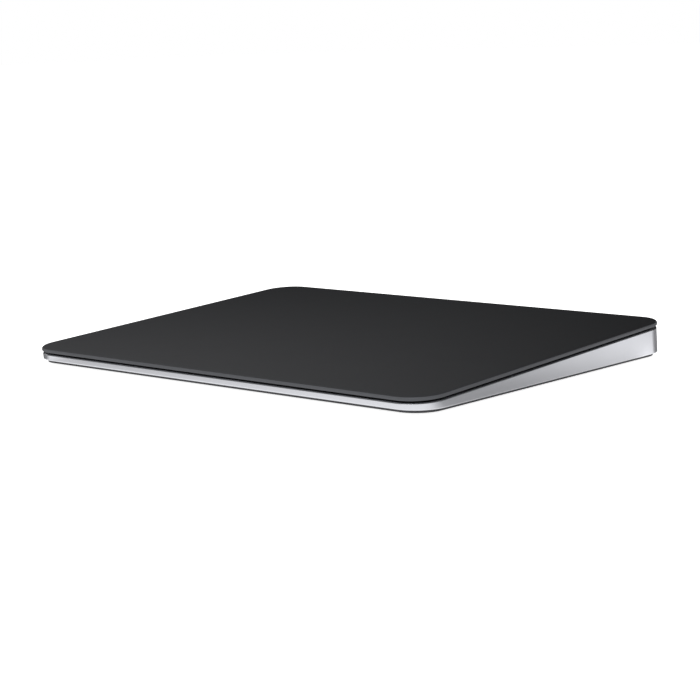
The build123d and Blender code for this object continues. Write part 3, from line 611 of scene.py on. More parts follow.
def lofted_plate(width: float, depth: float, radius: float, rings: Sequence[Ring], place: Matrix,
                 steps: int = 24) -> bpy.types.Mesh:
    """Makes a closed plate with round corners whose edge follows a profile.

    Args:
        width: size along the first axis.
        depth: size along the second.
        radius: the corners' radius.
        rings: the edge's profile, from the middle of one face to the middle of the other.
        place: puts the plate in the part's frame.
        steps: stretches in each corner.

    Returns:
        The mesh, smooth apart from its sharp edges.
    """
    loops = []
    for ring in rings:
        outline = rounded_outline(
            width - 2 * ring.inset, depth - 2 * ring.inset, max(radius - ring.inset, SAME_POINT), steps
        )
        loops.append([place @ Vector((*point, ring.height)) for point in outline])
    return skinned(loops, "plate")


def skinned(loops: Iterable[Iterable[Vector]], name: str) -> bpy.types.Mesh:
    """Makes a closed shape, with faces between each loop of points and the next, and a face on both ends.

    Args:
        loops: its points, loop by loop, all with the same count.
        name: the mesh's name.

    Returns:
        The mesh, smooth apart from its sharp edges.
    """
    mesh = bmesh.new()
    rows = [[mesh.verts.new(point) for point in loop] for loop in loops]
    for upper, lower in zip(rows, rows[1:]):
        for here in range(len(upper)):
            there = (here + 1) % len(upper)
            mesh.faces.new((upper[here], lower[here], lower[there], upper[there]))
    mesh.faces.new(rows[0])
    mesh.faces.new(reversed(rows[-1]))
    bmesh.ops.recalc_face_normals(mesh, faces=mesh.faces)
    return finished_mesh(mesh, name)


@dataclass(frozen=True)
class Turn:
    """One ring of a turned shape. With flats it is a regular polygon whose corners lie at the radius."""

    radius: float
    height: float
    flats: int = 0

    def points(self, count: int) -> list[Vector]:
        """Walks round the ring, anticlockwise.

        Args:
            count: how many points to give.

        Returns:
            The points.
        """
        made = []
        for step in range(count):
            angle = math.tau * step / count
            reach = self.radius
            if self.flats:
                side = math.tau / self.flats
                reach *= math.cos(side / 2) / math.cos(angle % side - side / 2)
            made.append(Vector((reach * math.cos(angle), reach * math.sin(angle), self.height)))
        return made


def turned_mesh(turns: Sequence[Turn], name: str, count: int = 24) -> bpy.types.Mesh:
    """A closed shape through rings about the Z axis, each with so many points."""
    return skinned((turn.points(count) for turn in turns), name)


def merged(mesh: bpy.types.Mesh) -> bmesh.types.BMesh:
    """Opens a copy of a mesh to build on, with the points that lie together joined.

    Args:
        mesh: the mesh to copy.

    Returns:
        The mesh under construction.
    """
    source = bmesh.new()
    source.from_mesh(mesh)
    bmesh.ops.remove_doubles(source, verts=source.verts, dist=SAME_POINT)
    return source


def finished_mesh(source: bmesh.types.BMesh, name: str, sharp_angle: float = SHARP_ANGLE) -> bpy.types.Mesh:
    """Turns a mesh under construction into a mesh with smooth faces and sharp edges.

    Args:
        source: what was built. It is freed.
        name: the new mesh's name.
        sharp_angle: how many degrees make an edge sharp.

    Returns:
        The mesh.
    """
    limit = math.radians(sharp_angle)
    for face in source.faces:
        face.smooth = True
    for edge in source.edges:
        edge.smooth = edge.calc_face_angle(0.0) < limit
    mesh = bpy.data.meshes.new(name)
    source.to_mesh(mesh)
    source.free()
    return mesh


def linked(name: str, data: bpy.types.ID) -> bpy.types.Object:
    """Makes an object and puts it in the scene.

    Args:
        name: the object's name.
        data: its mesh, lamp or camera.

    Returns:
        The new object.
    """
    thing = bpy.data.objects.new(name, data)
    bpy.context.scene.collection.objects.link(thing)
    return thing


def evaluated_mesh(thing: bpy.types.Object) -> bpy.types.Mesh:
    """Makes a plain mesh of what an object's modifiers give.

    Args:
        thing: the object. It is removed.

    Returns:
        The mesh.
    """
    bpy.context.view_layer.update()
    graph = bpy.context.evaluated_depsgraph_get()
    mesh = bpy.data.meshes.new_from_object(
        thing.evaluated_get(graph), preserve_all_data_layers=True, depsgraph=graph
    )
    bpy.data.objects.remove(thing)
    return mesh


def even_shading(mesh: bpy.types.Mesh) -> bpy.types.Mesh:
    """Shades a mesh so that its large flat faces stay flat beside its roundings.

    Args:
        mesh: the mesh.

    Returns:
        A copy with its shading.
    """
    host = linked("shading_host", mesh)
    modifier = host.modifiers.new("even_shading", "WEIGHTED_NORMAL")
    modifier.mode = "FACE_AREA"
    modifier.keep_sharp = True
    return evaluated_mesh(host)


@dataclass(frozen=True)
class Bend:
    """Where a springy piece bends: between the first body and the second, from start to end."""

    first: str
    second: str
    start: Vector
    end: Vector


@dataclass(frozen=True)
class Stand:
    """Where one separate solid of a node stands: its middle line's foot and way, and its sizes."""

    foot: Vector
    axis: Vector
    size: Vector

    @classmethod
    def read(cls, node: str, axis: Vector) -> "list[Stand]":
        """Reads every separate solid of a node.

        Args:
            node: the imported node.
            axis: the way that its solids stand, square to X.

        Returns:
            Their stands, from the front left to the rear right.
        """
        source = merged(frame["nodes"][node].data)
        left = set(source.verts)
        axes = (RIGHT, axis.cross(RIGHT), axis)
        found = []
        while left:
            queue = [left.pop()]
            points = []
            while queue:
                vertex = queue.pop()
                points.append(vertex.co.copy())
                beside = {edge.other_vert(vertex) for edge in vertex.link_edges} & left
                left -= beside
                queue.extend(beside)
            low, high = (
                Vector([pick(point.dot(way) for point in points) for way in axes]) for pick in (min, max)
            )
            foot = (low.x + high.x) / 2 * axes[0] + (low.y + high.y) / 2 * axes[1] + low.z * axes[2]
            found.append(cls(foot, axis, high - low))
        source.free()
        return sorted(found, key=lambda stand: (
            round(stand.foot.y, ROW_DIGITS), round(stand.foot.x, ROW_DIGITS),
        ))


@dataclass
class Assembly:
    """A group of pieces that are made together."""

    shelf: Shelf
    made: list[bpy.types.Object] = field(default_factory=list)

    def piece(self, name: str, mesh: bpy.types.Mesh, slot: str, body: str,
              replaced: Iterable[str] = (), bend: Bend | None = None) -> bpy.types.Object:
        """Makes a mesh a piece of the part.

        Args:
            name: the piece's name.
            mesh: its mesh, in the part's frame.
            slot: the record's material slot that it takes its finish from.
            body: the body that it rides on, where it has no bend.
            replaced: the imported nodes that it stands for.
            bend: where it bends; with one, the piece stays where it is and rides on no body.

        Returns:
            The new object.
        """
        mesh.name = name
        mesh.materials.clear()
        mesh.materials.append(self.shelf.material(slot))
        thing = linked(name, mesh)
        if bend:
            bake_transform(thing)
        else:
            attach(thing, body)
        if replaced:
            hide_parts(*replaced)
        self.made.append(thing)
        log.info("%s rides on %s with %d faces", name, body, len(mesh.polygons))
        return thing

    def smooth_copy(self, node: str, name: str) -> bpy.types.Object:
        """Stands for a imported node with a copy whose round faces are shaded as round.

        Args:
            node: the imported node.
            name: the new piece's name.

        Returns:
            The new object.
        """
        packed = frame["nodes"][node]
        mesh = even_shading(finished_mesh(merged(packed.data), name))
        return self.piece(name, mesh, self.shelf.slot_of[node], packed["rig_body"], [node])

    def eased_copy(self, node: str, ease: float) -> bpy.types.Object:
        """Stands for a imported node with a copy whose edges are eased.

        Args:
            node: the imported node.
            ease: how far from each edge its rounding starts.

        Returns:
            The new object.
        """
        packed = frame["nodes"][node]
        source = merged(packed.data)
        bmesh.ops.dissolve_limit(
            source, angle_limit=math.radians(FLAT_ANGLE), verts=source.verts, edges=source.edges
        )
        host = linked("easing_host", finished_mesh(source, node))
        modifier = host.modifiers.new("eased_edges", "BEVEL")
        modifier.width = ease
        modifier.segments = EASE_SEGMENTS
        modifier.limit_method = "ANGLE"
        modifier.angle_limit = math.radians(EASED_ANGLE)
        modifier.harden_normals = True
        mesh = evaluated_mesh(host)
        return self.piece(f"eased_{node}", mesh, self.shelf.slot_of[node], packed["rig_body"], [node])

    def bending_copy(self, node: str, bend: Bend, slices: int = 24) -> bpy.types.Object:
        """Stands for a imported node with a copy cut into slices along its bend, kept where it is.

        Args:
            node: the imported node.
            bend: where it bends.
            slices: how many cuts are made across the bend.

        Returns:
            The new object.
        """
        source = merged(frame["nodes"][node].data)
        way = bend.end - bend.start
        for step in range(slices + 1):
            geometry = [*source.verts, *source.edges, *source.faces]
            place = bend.start + way * step / slices
            bmesh.ops.bisect_plane(source, geom=geometry, plane_co=place, plane_no=way, dist=SAME_POINT)
        mesh = finished_mesh(source, node)
        return self.piece(f"bending_{node}", mesh, self.shelf.slot_of[node], bend.first, [node], bend)


class Recipe(Tree):
    """A Geometry Nodes tree under construction. Its sizes come in through named inputs."""

    def __init__(self, name: str) -> None:
        """Starts the tree with a geometry input and output.

        Args:
            name: the tree's name.
        """
        super().__init__(bpy.data.node_groups.new(name, "GeometryNodeTree"))
        for way in ("INPUT", "OUTPUT"):
            self.tree.interface.new_socket("Geometry", in_out=way, socket_type="NodeSocketGeometry")
        self.entry = self.tree.nodes.new("NodeGroupInput")

    def need(self, name: str, kind: str = "Float") -> Socket:
        """Adds a named input of a kind, and returns it as the tree sees it."""
        self.tree.interface.new_socket(name, in_out="INPUT", socket_type=f"NodeSocket{kind}")
        return self.entry.outputs[name]

    def piece(self) -> Socket:
        """The shape of the object that comes in as Piece."""
        info = self.add("GeometryNodeObjectInfo", {"Object": self.need("Piece", "Object")})
        return info.outputs["Geometry"]

    def bent_line(self, count: object, place: Socket) -> Socket:
        """Adds a line of straight stretches.

        Args:
            count: how many points it has.
            place: where each point lies.

        Returns:
            The line, as a curve.
        """
        line = self.out("GeometryNodeMeshLine", {"Count": count, "Offset": (0, 0, 0)})
        moved = self.out("GeometryNodeSetPosition", {"Geometry": line, "Position": place})
        return self.out("GeometryNodeMeshToCurve", {"Mesh": moved})

    def swept(self, path: Socket, section: Socket, level: bool = True) -> Socket:
        """Adds a solid with one section all along a path.

        Args:
            path: the curve that it follows.
            section: the curve round its section.
            level: whether the section is kept upright on the way.

        Returns:
            The solid, with closed ends.
        """
        if level:
            path = self.out("GeometryNodeSetCurveNormal", {"Curve": path}, mode="Z_UP")
        return self.out("GeometryNodeCurveToMesh", {
            "Curve": path, "Profile Curve": section, "Fill Caps": True,
        })

    def finish(self, geometry: Socket) -> bpy.types.NodeTree:
        """Makes instances real, dresses them, and closes the tree.

        Args:
            geometry: what the recipe has grown.

        Returns:
            The finished tree.
        """
        real = self.out("GeometryNodeRealizeInstances", {"Geometry": geometry})
        dressed = self.out("GeometryNodeSetMaterial", {
            "Geometry": real, "Material": self.need("Finish", "Material"),
        })
        self.add("NodeGroupOutput", {"Geometry": dressed})
        return self.tree


def grown_mesh(tree: bpy.types.NodeTree, values: dict[str, object],
               points: bpy.types.Mesh | None = None) -> bpy.types.Mesh:
    """Runs a recipe once.

    Args:
        tree: the recipe's tree.
        values: its named inputs.
        points: the mesh that it starts from, if it needs one.

    Returns:
        The result as a plain mesh.
    """
    host = linked("recipe_host", points or bpy.data.meshes.new("nothing"))
    modifier = host.modifiers.new("recipe", "NODES")
    modifier.node_group = tree
    for item in tree.interface.items_tree:
        if item.in_out == "INPUT" and item.name in values:
            modifier[item.identifier] = values[item.name]
    return evaluated_mesh(host)


@cache
def pieces_on_points() -> bpy.types.NodeTree:
    """Recipe: a piece on each point, upright along the point's own axis and turned at random about it.

    Returns:
        The tree, which is built once.
    """
    recipe = Recipe("pieces_on_points")
    piece = recipe.piece()
    axis = recipe.out("GeometryNodeInputNamedAttribute", {"Name": "axis"}, data_type="FLOAT_VECTOR")
    upright = recipe.out("FunctionNodeAlignRotationToVector", {"Vector": axis}, axis="Z")
    most = recipe.need("Largest turn")
    chance = recipe.add("FunctionNodeRandomValue", {"Seed": recipe.need("Seed", "Int")}, data_type="FLOAT")
    angle = recipe.times(chance.outputs[RANDOM_NUMBER], most)
    spin = recipe.out("FunctionNodeEulerToRotation", {0: recipe.vector(Z=angle)})
    turned = recipe.out("FunctionNodeRotateRotation", {0: upright, 1: spin}, rotation_space="LOCAL")
    return recipe.finish(recipe.out("GeometryNodeInstanceOnPoints", {
        "Points": recipe.entry.outputs["Geometry"], "Instance": piece, "Rotation": turned,
    }))


def piece_rows() -> bpy.types.NodeTree:
    """Recipe: rows of a piece side by side along X, one row over the other, the lower ones upside down.

    Returns:
        The tree.
    """
    recipe = Recipe("piece_rows")
    piece = recipe.piece()
    columns, rows = recipe.need("Columns", "Int"), recipe.need("Rows", "Int")
    pitch, gap = recipe.need("Pitch"), recipe.need("Row gap")
    grid = recipe.out("GeometryNodeMeshGrid", {
        "Vertices X": columns, "Vertices Y": rows,
        "Size X": recipe.times(recipe.minus(columns, 1), pitch),
        "Size Y": recipe.times(recipe.minus(rows, 1), gap),
    })
    place = recipe.parts(recipe.out("GeometryNodeInputPosition"))
    half_turn = recipe.times(recipe.maths("LESS_THAN", place["Y"], -SAME_POINT), math.pi)
    turn = recipe.add("GeometryNodeCaptureAttribute")
    turn.capture_items.new("VECTOR", "turn")
    recipe.tree.links.new(grid, turn.inputs[0])
    recipe.tree.links.new(recipe.vector(Y=half_turn), turn.inputs[1])
    stood = recipe.out("GeometryNodeSetPosition", {
        "Geometry": turn.outputs[0], "Position": recipe.vector(X=place["X"], Z=place["Y"]),
    })
    placed = recipe.out("GeometryNodeInstanceOnPoints", {
        "Points": stood, "Instance": piece, "Rotation": turn.outputs[1],
    })
    return recipe.finish(recipe.out("GeometryNodeTransform", {
        "Geometry": placed, "Translation": recipe.need("Middle", "Vector"),
    }))


def wire_winding() -> bpy.types.NodeTree:
    """Recipe: a wire wound in one layer over plain inner layers of round-cornered section, along X.

    Returns:
        The tree.
    """
    recipe = Recipe("wire_winding")
    turns, steps = recipe.need("Turns"), recipe.need("Steps a turn")
    length, width, height = recipe.need("Length"), recipe.need("Width"), recipe.need("Height")
    corner, wire = recipe.need("Corner radius"), recipe.need("Wire diameter")
    count = recipe.times(turns, steps)
    share = recipe.maths("DIVIDE", recipe.out("GeometryNodeInputIndex"), count)
    angle = recipe.times(recipe.times(share, turns), math.tau)
    along = recipe.times(recipe.minus(share, 0.5), recipe.minus(length, wire))
    inside = recipe.times(wire, 0.5)
    bend = recipe.minus(corner, inside)
    place = []
    for size, wave in ((width, recipe.maths("COSINE", angle)), (height, recipe.maths("SINE", angle))):
        reach = recipe.minus(recipe.times(size, 0.5), corner)
        straight = recipe.times(recipe.maths("SIGN", wave), reach)
        place.append(recipe.maths("MULTIPLY_ADD", wave, bend, straight))
    path = recipe.bent_line(recipe.maths("ADD", count, 1), recipe.vector(X=along, Y=place[0], Z=place[1]))
    round_wire = recipe.out("GeometryNodeCurvePrimitiveCircle", {"Resolution": WIRE_SIDES, "Radius": inside})
    tube = recipe.swept(path, round_wire, level=False)
    section = recipe.out("GeometryNodeCurvePrimitiveQuadrilateral", {
        "Width": recipe.minus(width, wire), "Height": recipe.minus(height, wire),
    })
    rounded = recipe.out("GeometryNodeFilletCurve", {
        "Curve": section, "Radius": bend, "Count": FILLET_STEPS,
    }, mode="POLY")
    half = recipe.times(length, 0.5)
    middle = recipe.out("GeometryNodeCurvePrimitiveLine", {
        "Start": recipe.vector(X=recipe.times(half, -1.0)), "End": recipe.vector(X=half),
    })
    inner_layers = recipe.swept(middle, rounded)
    both = recipe.add("GeometryNodeJoinGeometry")
    for part in (tube, inner_layers):
        recipe.tree.links.new(part, both.inputs[0])
    return recipe.finish(both.outputs[0])


def foil_meander() -> bpy.types.NodeTree:
    """Recipe: a flat track that runs to and fro along X in parallel legs.

    Returns:
        The tree.
    """
    recipe = Recipe("foil_meander")
    legs, length = recipe.need("Legs", "Int"), recipe.need("Leg length")
    pitch, width, thickness = recipe.need("Pitch"), recipe.need("Track width"), recipe.need("Track thickness")
    index = recipe.out("GeometryNodeInputIndex")
    leg = recipe.maths("FLOOR", recipe.maths("DIVIDE", index, 2))
    middle = recipe.times(recipe.minus(legs, 1), 0.5)
    across = recipe.times(recipe.minus(leg, middle), pitch)
    pair = recipe.maths("FLOOR", recipe.maths("DIVIDE", recipe.maths("ADD", index, 1), 2))
    turned = recipe.maths("FLOORED_MODULO", pair, 2)
    along = recipe.times(recipe.minus(turned, 0.5), length)
    path = recipe.bent_line(recipe.times(legs, 2), recipe.vector(X=along, Y=across))
    section = recipe.out("GeometryNodeCurvePrimitiveQuadrilateral", {"Width": width, "Height": thickness})
    return recipe.finish(recipe.swept(path, section))


def scattered(shape: bpy.types.Mesh, places: Sequence[Vector], axis: Vector, finish: bpy.types.Material,
              largest_turn: float = 0.0, seed: int = 1) -> bpy.types.Mesh:
    """Stands a shape on each of several places.

    Args:
        shape: the shape, upright on z = 0.
        places: where it goes.
        axis: which way is up for it there.
        finish: its material.
        largest_turn: how far each may be turned about its own axis.
        seed: fixes which turns they get.

    Returns:
        All of them as one mesh.
    """
    points = bpy.data.meshes.new("places")
    points.from_pydata([tuple(place) for place in places], [], [])
    way = points.attributes.new("axis", "FLOAT_VECTOR", "POINT")
    way.data.foreach_set("vector", [part for _ in places for part in axis])
    pattern = linked("pattern_piece", shape)
    values = {"Piece": pattern, "Largest turn": largest_turn, "Seed": seed, "Finish": finish}
    mesh = grown_mesh(pieces_on_points(), values, points)
    bpy.data.objects.remove(pattern)
    return mesh


@dataclass
class TouchPlate(Assembly):
    """The glass plate and what is bonded under it."""

    corner_radius: float = 9.3 * MILLIMETRE
    upper_chamfer: float = 0.3 * MILLIMETRE
    lower_chamfer: float = 0.15 * MILLIMETRE
    softening: float = 0.06 * MILLIMETRE
    face_margin: float = 1.2 * MILLIMETRE

    def build(self) -> None:
        """Makes the glass with softened ground edges, and the rim below it."""
        low, high = PLATE.extent("glass_plate")
        profile = [
            Ring(self.face_margin, high.z),
            Ring(self.upper_chamfer, high.z),
            Ring(0.0, high.z - self.upper_chamfer),
            Ring(0.0, low.z + self.lower_chamfer),
            Ring(self.lower_chamfer, low.z),
            Ring(self.face_margin, low.z),
        ]
        mesh = lofted_plate(
            high.x - low.x, high.y - low.y, self.corner_radius, softened(profile, self.softening),
            PLATE.matrix(),
        )
        self.piece("touch_glass", mesh, "glass_black", "touch_plate", ["glass_plate"])
        self.smooth_copy("glass_frame", "glass_rim")
        self.eased_copy("stiffener_plate", self.softening)
        self.eased_copy("sensor_connector", self.softening)


@dataclass
class Springs(Assembly):
    """The four leaf springs that carry the plate, with their gauges, caps and pads."""

    root_length: float = 8 * MILLIMETRE
    grid_legs: int = 9
    grid_length: float = 3.2 * MILLIMETRE
    grid_pitch: float = 0.22 * MILLIMETRE
    track_width: float = 0.11 * MILLIMETRE
    track_thickness: float = 0.02 * MILLIMETRE
    film_sides: int = 4
    pad_bulge: float = 0.12 * MILLIMETRE
    pad_edge: float = 0.08 * MILLIMETRE
    pad_rings: int = 8
    pad_sides: int = 40

    def build(self) -> None:
        """Makes the springs, cut along the stretch from their screwed ends to the discs on their tips."""
        for side, hand in ((-1, "left"), (1, "right")):
            bend = self.bend_of(side, f"flexure_front_{hand}")
            for end in ("front", "rear"):
                self.bending_copy(f"flexure_{end}_{hand}", bend)
            self.gauges(side, hand, bend)
        self.eased_copy("flexure_caps", self.pad_edge)
        self.pads()

    def bend_of(self, side: int, node: str) -> Bend:
        """Works out where the springs of one side bend.

        Args:
            side: -1 on the left, 1 on the right.
            node: one of its springs.

        Returns:
            The bend, from the screwed root to the disc on the tip.
        """
        low, high = PLATE.extent(node)
        root = side * (max(abs(low.x), abs(high.x)) - self.root_length)
        cap = Stand.read("flexure_caps", PLATE.normal)[0]
        tip = side * (abs(cap.foot.x) + cap.size.x / 2)
        place = PLATE.matrix()
        start, end = (place @ Vector((across, low.y, low.z)) for across in (root, tip))
        return Bend("base", "carrier", start, end)

    def gauges(self, side: int, hand: str, bend: Bend) -> None:
        """Makes the gauges of one side: thin films, each with a grid of fine track on it.

        Args:
            side: -1 on the left, 1 on the right.
            hand: the side's word in the pieces' names.
            bend: where the springs under them bend.
        """
        stands = [stand for stand in Stand.read("strain_gauges", PLATE.normal) if stand.foot.x * side > 0]
        size = stands[0].size
        film_height = size.z - self.track_thickness
        half_diagonal = math.hypot(size.x, size.x) / 2
        film = turned_mesh([
            Turn(half_diagonal, height, self.film_sides) for height in (0.0, film_height)
        ], "film", self.film_sides)
        squared = Matrix.Rotation(math.pi / self.film_sides, 4, "Z")
        film.transform(Matrix.Diagonal((1, size.y / size.x, 1, 1)) @ squared)
        places = [stand.foot for stand in stands]
        films = scattered(film, places, PLATE.normal, self.shelf.material("foil"))
        self.piece(f"gauge_films_{hand}", films, "foil", bend.first, ["strain_gauges"], bend)
        values = {
            "Legs": self.grid_legs, "Leg length": self.grid_length, "Pitch": self.grid_pitch,
            "Track width": self.track_width, "Track thickness": self.track_thickness,
            "Finish": self.shelf.material("copper"),
        }
        grid = grown_mesh(foil_meander(), values)
        grid.transform(Matrix.Translation((0, 0, film_height + self.track_thickness / 2)))
        grids = scattered(grid, places, PLATE.normal, self.shelf.material("copper"))
        self.piece(f"gauge_grids_{hand}", grids, "copper", bend.first, (), bend)

    def pads(self) -> None:
        """Makes the soft discs, whose sides bulge between the springs and the plate."""
        stands = Stand.read("gel_pads", PLATE.normal)
        radius, height = stands[0].size.x / 2 - self.pad_bulge, stands[0].size.z
        profile = [Turn(radius - self.pad_edge, 0.0)]
        for step in range(self.pad_rings + 1):
            share = step / self.pad_rings
            swell = self.pad_bulge * 4 * share * (1 - share)
            profile.append(Turn(radius + swell, self.pad_edge + share * (height - 2 * self.pad_edge)))
        profile.append(Turn(radius - self.pad_edge, height))
        pad = turned_mesh(profile, "pad", self.pad_sides)
        mesh = scattered(pad, [stand.foot for stand in stands], PLATE.normal, self.shelf.material("silicone"))
        self.piece("soft_pads", mesh, "silicone", "carrier", ["gel_pads"])


@dataclass(frozen=True)
class ScrewShape:
    """A low screw with a six-sided socket. Its head sits on z = 0 and its shank points down."""

    head_diameter: float = 2.2 * MILLIMETRE
    head_height: float = 0.3 * MILLIMETRE
    head_round: float = 0.09 * MILLIMETRE
    round_middle: float = 0.3
    shank_diameter: float = 1.2 * MILLIMETRE
    thread_depth: float = 0.09 * MILLIMETRE
    thread_pitch: float = 0.25 * MILLIMETRE
    socket_reach: float = 0.45 * MILLIMETRE
    socket_depth: float = 0.2 * MILLIMETRE
    socket_flats: int = 6

    def mesh(self, length: float) -> bpy.types.Mesh:
        """Turns the screw.

        Args:
            length: how long its shank is.

        Returns:
            The screw's mesh.
        """
        shank, head, top = self.shank_diameter / 2, self.head_diameter / 2, self.head_height
        core = shank - self.thread_depth
        eased = self.head_round * self.round_middle
        turns = [Turn(core - self.thread_depth, -length), Turn(core, -length + self.thread_depth)]
        crest = -length + self.thread_pitch
        while crest < -self.thread_pitch / 2:
            turns += [Turn(shank, crest), Turn(core, crest + self.thread_pitch / 2)]
            crest += self.thread_pitch
        turns += [
            Turn(core, 0.0),
            Turn(head - self.head_round / 2, 0.0),
            Turn(head, self.head_round / 2),
            Turn(head, top - self.head_round),
            Turn(head - eased, top - eased),
            Turn(head - self.head_round, top),
            Turn(self.socket_reach, top, self.socket_flats),
            Turn(self.socket_reach, top - self.socket_depth, self.socket_flats),
        ]
        return turned_mesh(turns, "screw")


@dataclass
class Fasteners(Assembly):
    """All the screws. Each group is grown from one screw, turned as hands leave them."""

    shape: ScrewShape = ScrewShape()
    largest_turn: float = math.radians(60)
    seed: int = 7

    def build(self) -> None:
        """Makes the springs' screws, the haptic engine's and the board's."""
        for node, axis in (
            ("flexure_screws", PLATE.normal), ("haptic_screws", PLATE.normal), ("board_screws", UPRIGHT),
        ):
            stands = Stand.read(node, axis)
            length = stands[0].size.z - self.shape.head_height
            slot = self.shelf.slot_of[node]
            places = [stand.foot + length * axis for stand in stands]
            mesh = scattered(
                self.shape.mesh(length), places, axis, self.shelf.material(slot), self.largest_turn, self.seed
            )
            self.piece(f"socket_{node}", mesh, slot, "base", [node])


@dataclass
class HapticEngine(Assembly):
    """The coils, cores and bracket that shake the plate."""

    wire: float = 0.16 * MILLIMETRE
    steps_a_turn: int = 16
    corner: float = 0.3 * MILLIMETRE
    ease: float = 0.1 * MILLIMETRE
    sharp_angle: float = 50.0

    def build(self) -> None:
        """Makes four windings and eases the edges of the steel."""
        recipe = wire_winding()
        for end in ("front", "rear"):
            for hand in ("left", "right"):
                self.winding(recipe, f"haptic_coil_{end}_{hand}", f"wound_coil_{end}_{hand}")
        for node in ("haptic_core_left", "haptic_core_right", "haptic_armature", "haptic_bracket"):
            self.eased_copy(node, self.ease)

    def winding(self, recipe: bpy.types.NodeTree, node: str, name: str) -> None:
        """Makes one winding in the place of its node.

        Args:
            recipe: the winding's tree.
            node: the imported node.
            name: the new piece's name.
        """
        low, high = PLATE.extent(node)
        size, middle = high - low, (low + high) / 2
        values = {
            "Turns": float(math.floor(size.x / self.wire)), "Steps a turn": float(self.steps_a_turn),
            "Length": size.x, "Width": size.y, "Height": size.z, "Corner radius": self.corner,
            "Wire diameter": self.wire, "Finish": self.shelf.material("winding"),
        }
        source = bmesh.new()
        source.from_mesh(grown_mesh(recipe, values))
        mesh = finished_mesh(source, name, self.sharp_angle)
        mesh.transform(PLATE.matrix() @ Matrix.Translation(middle))
        self.piece(name, mesh, "winding", "base", [node])


@dataclass
class Electronics(Assembly):
    """The boards, their chips, the battery and the flat cables."""

    cap_share: float = 0.24
    cap_proud: float = 0.02 * MILLIMETRE
    eased_share: float = 0.12
    fold_reach: float = 0.7 * MILLIMETRE
    eases: dict[str, float] = field(default_factory=lambda: {
        "battery_cell": 0.45 * MILLIMETRE, "battery_board_rest": 0.12 * MILLIMETRE,
        "battery_tabs": 0.04 * MILLIMETRE, "battery_board": 0.04 * MILLIMETRE,
        "processor_chip": 0.06 * MILLIMETRE, "touch_controller_chip": 0.06 * MILLIMETRE,
        "charger_chip": 0.06 * MILLIMETRE, "force_sensor_chip": 0.06 * MILLIMETRE,
        "radio_chip": 0.06 * MILLIMETRE, "radio_shield": 0.14 * MILLIMETRE,
        "board_connectors": 0.08 * MILLIMETRE, "aerial_carrier": 0.12 * MILLIMETRE,
    })

    def build(self) -> None:
        """Eases the edges of what is moulded or folded, and makes the small pieces and the bending cable."""
        for node, ease in self.eases.items():
            self.eased_copy(node, ease)
        self.capacitors()
        self.smooth_copy("haptic_ribbon", "haptic_flat_cable")
        self.folding_ribbon()

    def capacitors(self) -> None:
        """Makes each capacitor a ceramic body between two metal ends."""
        stands = Stand.read("board_capacitors", UPRIGHT)
        size = stands[0].size
        places = [stand.foot for stand in stands]
        end = size.x * self.cap_share
        body = self.brick(Vector((-size.x / 2 + end, 0, 0)), Vector((
            size.x - 2 * end, size.y - 2 * self.cap_proud, size.z - self.cap_proud,
        )))
        mesh = scattered(body, places, UPRIGHT, self.shelf.material("ceramic"))
        self.piece("capacitor_bodies", mesh, "ceramic", "base", ["board_capacitors"])
        for side, hand in ((-1, "left"), (1, "right")):
            start = -size.x / 2 if side < 0 else size.x / 2 - end
            cap = self.brick(Vector((start, 0, 0)), Vector((end, size.y, size.z)))
            mesh = scattered(cap, places, UPRIGHT, self.shelf.material("nickel"))
            self.piece(f"capacitor_ends_{hand}", mesh, "nickel", "base")

    def brick(self, start: Vector, size: Vector) -> bpy.types.Mesh:
        """Makes a small block with eased upper edges.

        Args:
            start: the middle of its lower left edge.
            size: its sizes along X, Y and Z.

        Returns:
            The block's mesh.
        """
        ease = min(size) * self.eased_share
        loops = []
        for inset, height in ((0.0, 0.0), (0.0, size.z - ease), (ease, size.z)):
            right, rear = size.x - inset, size.y / 2 - inset
            corners = ((inset, -rear), (right, -rear), (right, rear), (inset, rear))
            loops.append([start + Vector((*corner, height)) for corner in corners])
        return skinned(loops, "brick")

    def folding_ribbon(self) -> None:
        """Makes the cable between the boards, whose fold takes up the plate's travel."""
        low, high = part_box("sensor_ribbon")
        middle = (low.z + high.z) / 2
        points = [vertex.co for vertex in frame["nodes"]["sensor_ribbon"].data.vertices]
        fold = max(point.x for point in points if point.z > middle)
        start = Vector((fold + self.fold_reach, low.y, low.z))
        end = Vector((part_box("sensor_connector")[1].x, low.y, low.z))
        self.bending_copy("sensor_ribbon", Bend("base", "carrier", start, end))


@dataclass
class Tray(Assembly):
    """The aluminium tray, its cover and its feet."""

    def build(self) -> None:
        """Makes the tray, the cover and the four feet."""
        self.smooth_copy("enclosure", "tray")
        self.smooth_copy("bottom_cover", "underside_cover")
        for corner in ("front_left", "front_right", "rear_left", "rear_right"):
            self.smooth_copy(f"foot_{corner}", f"rubber_foot_{corner}")


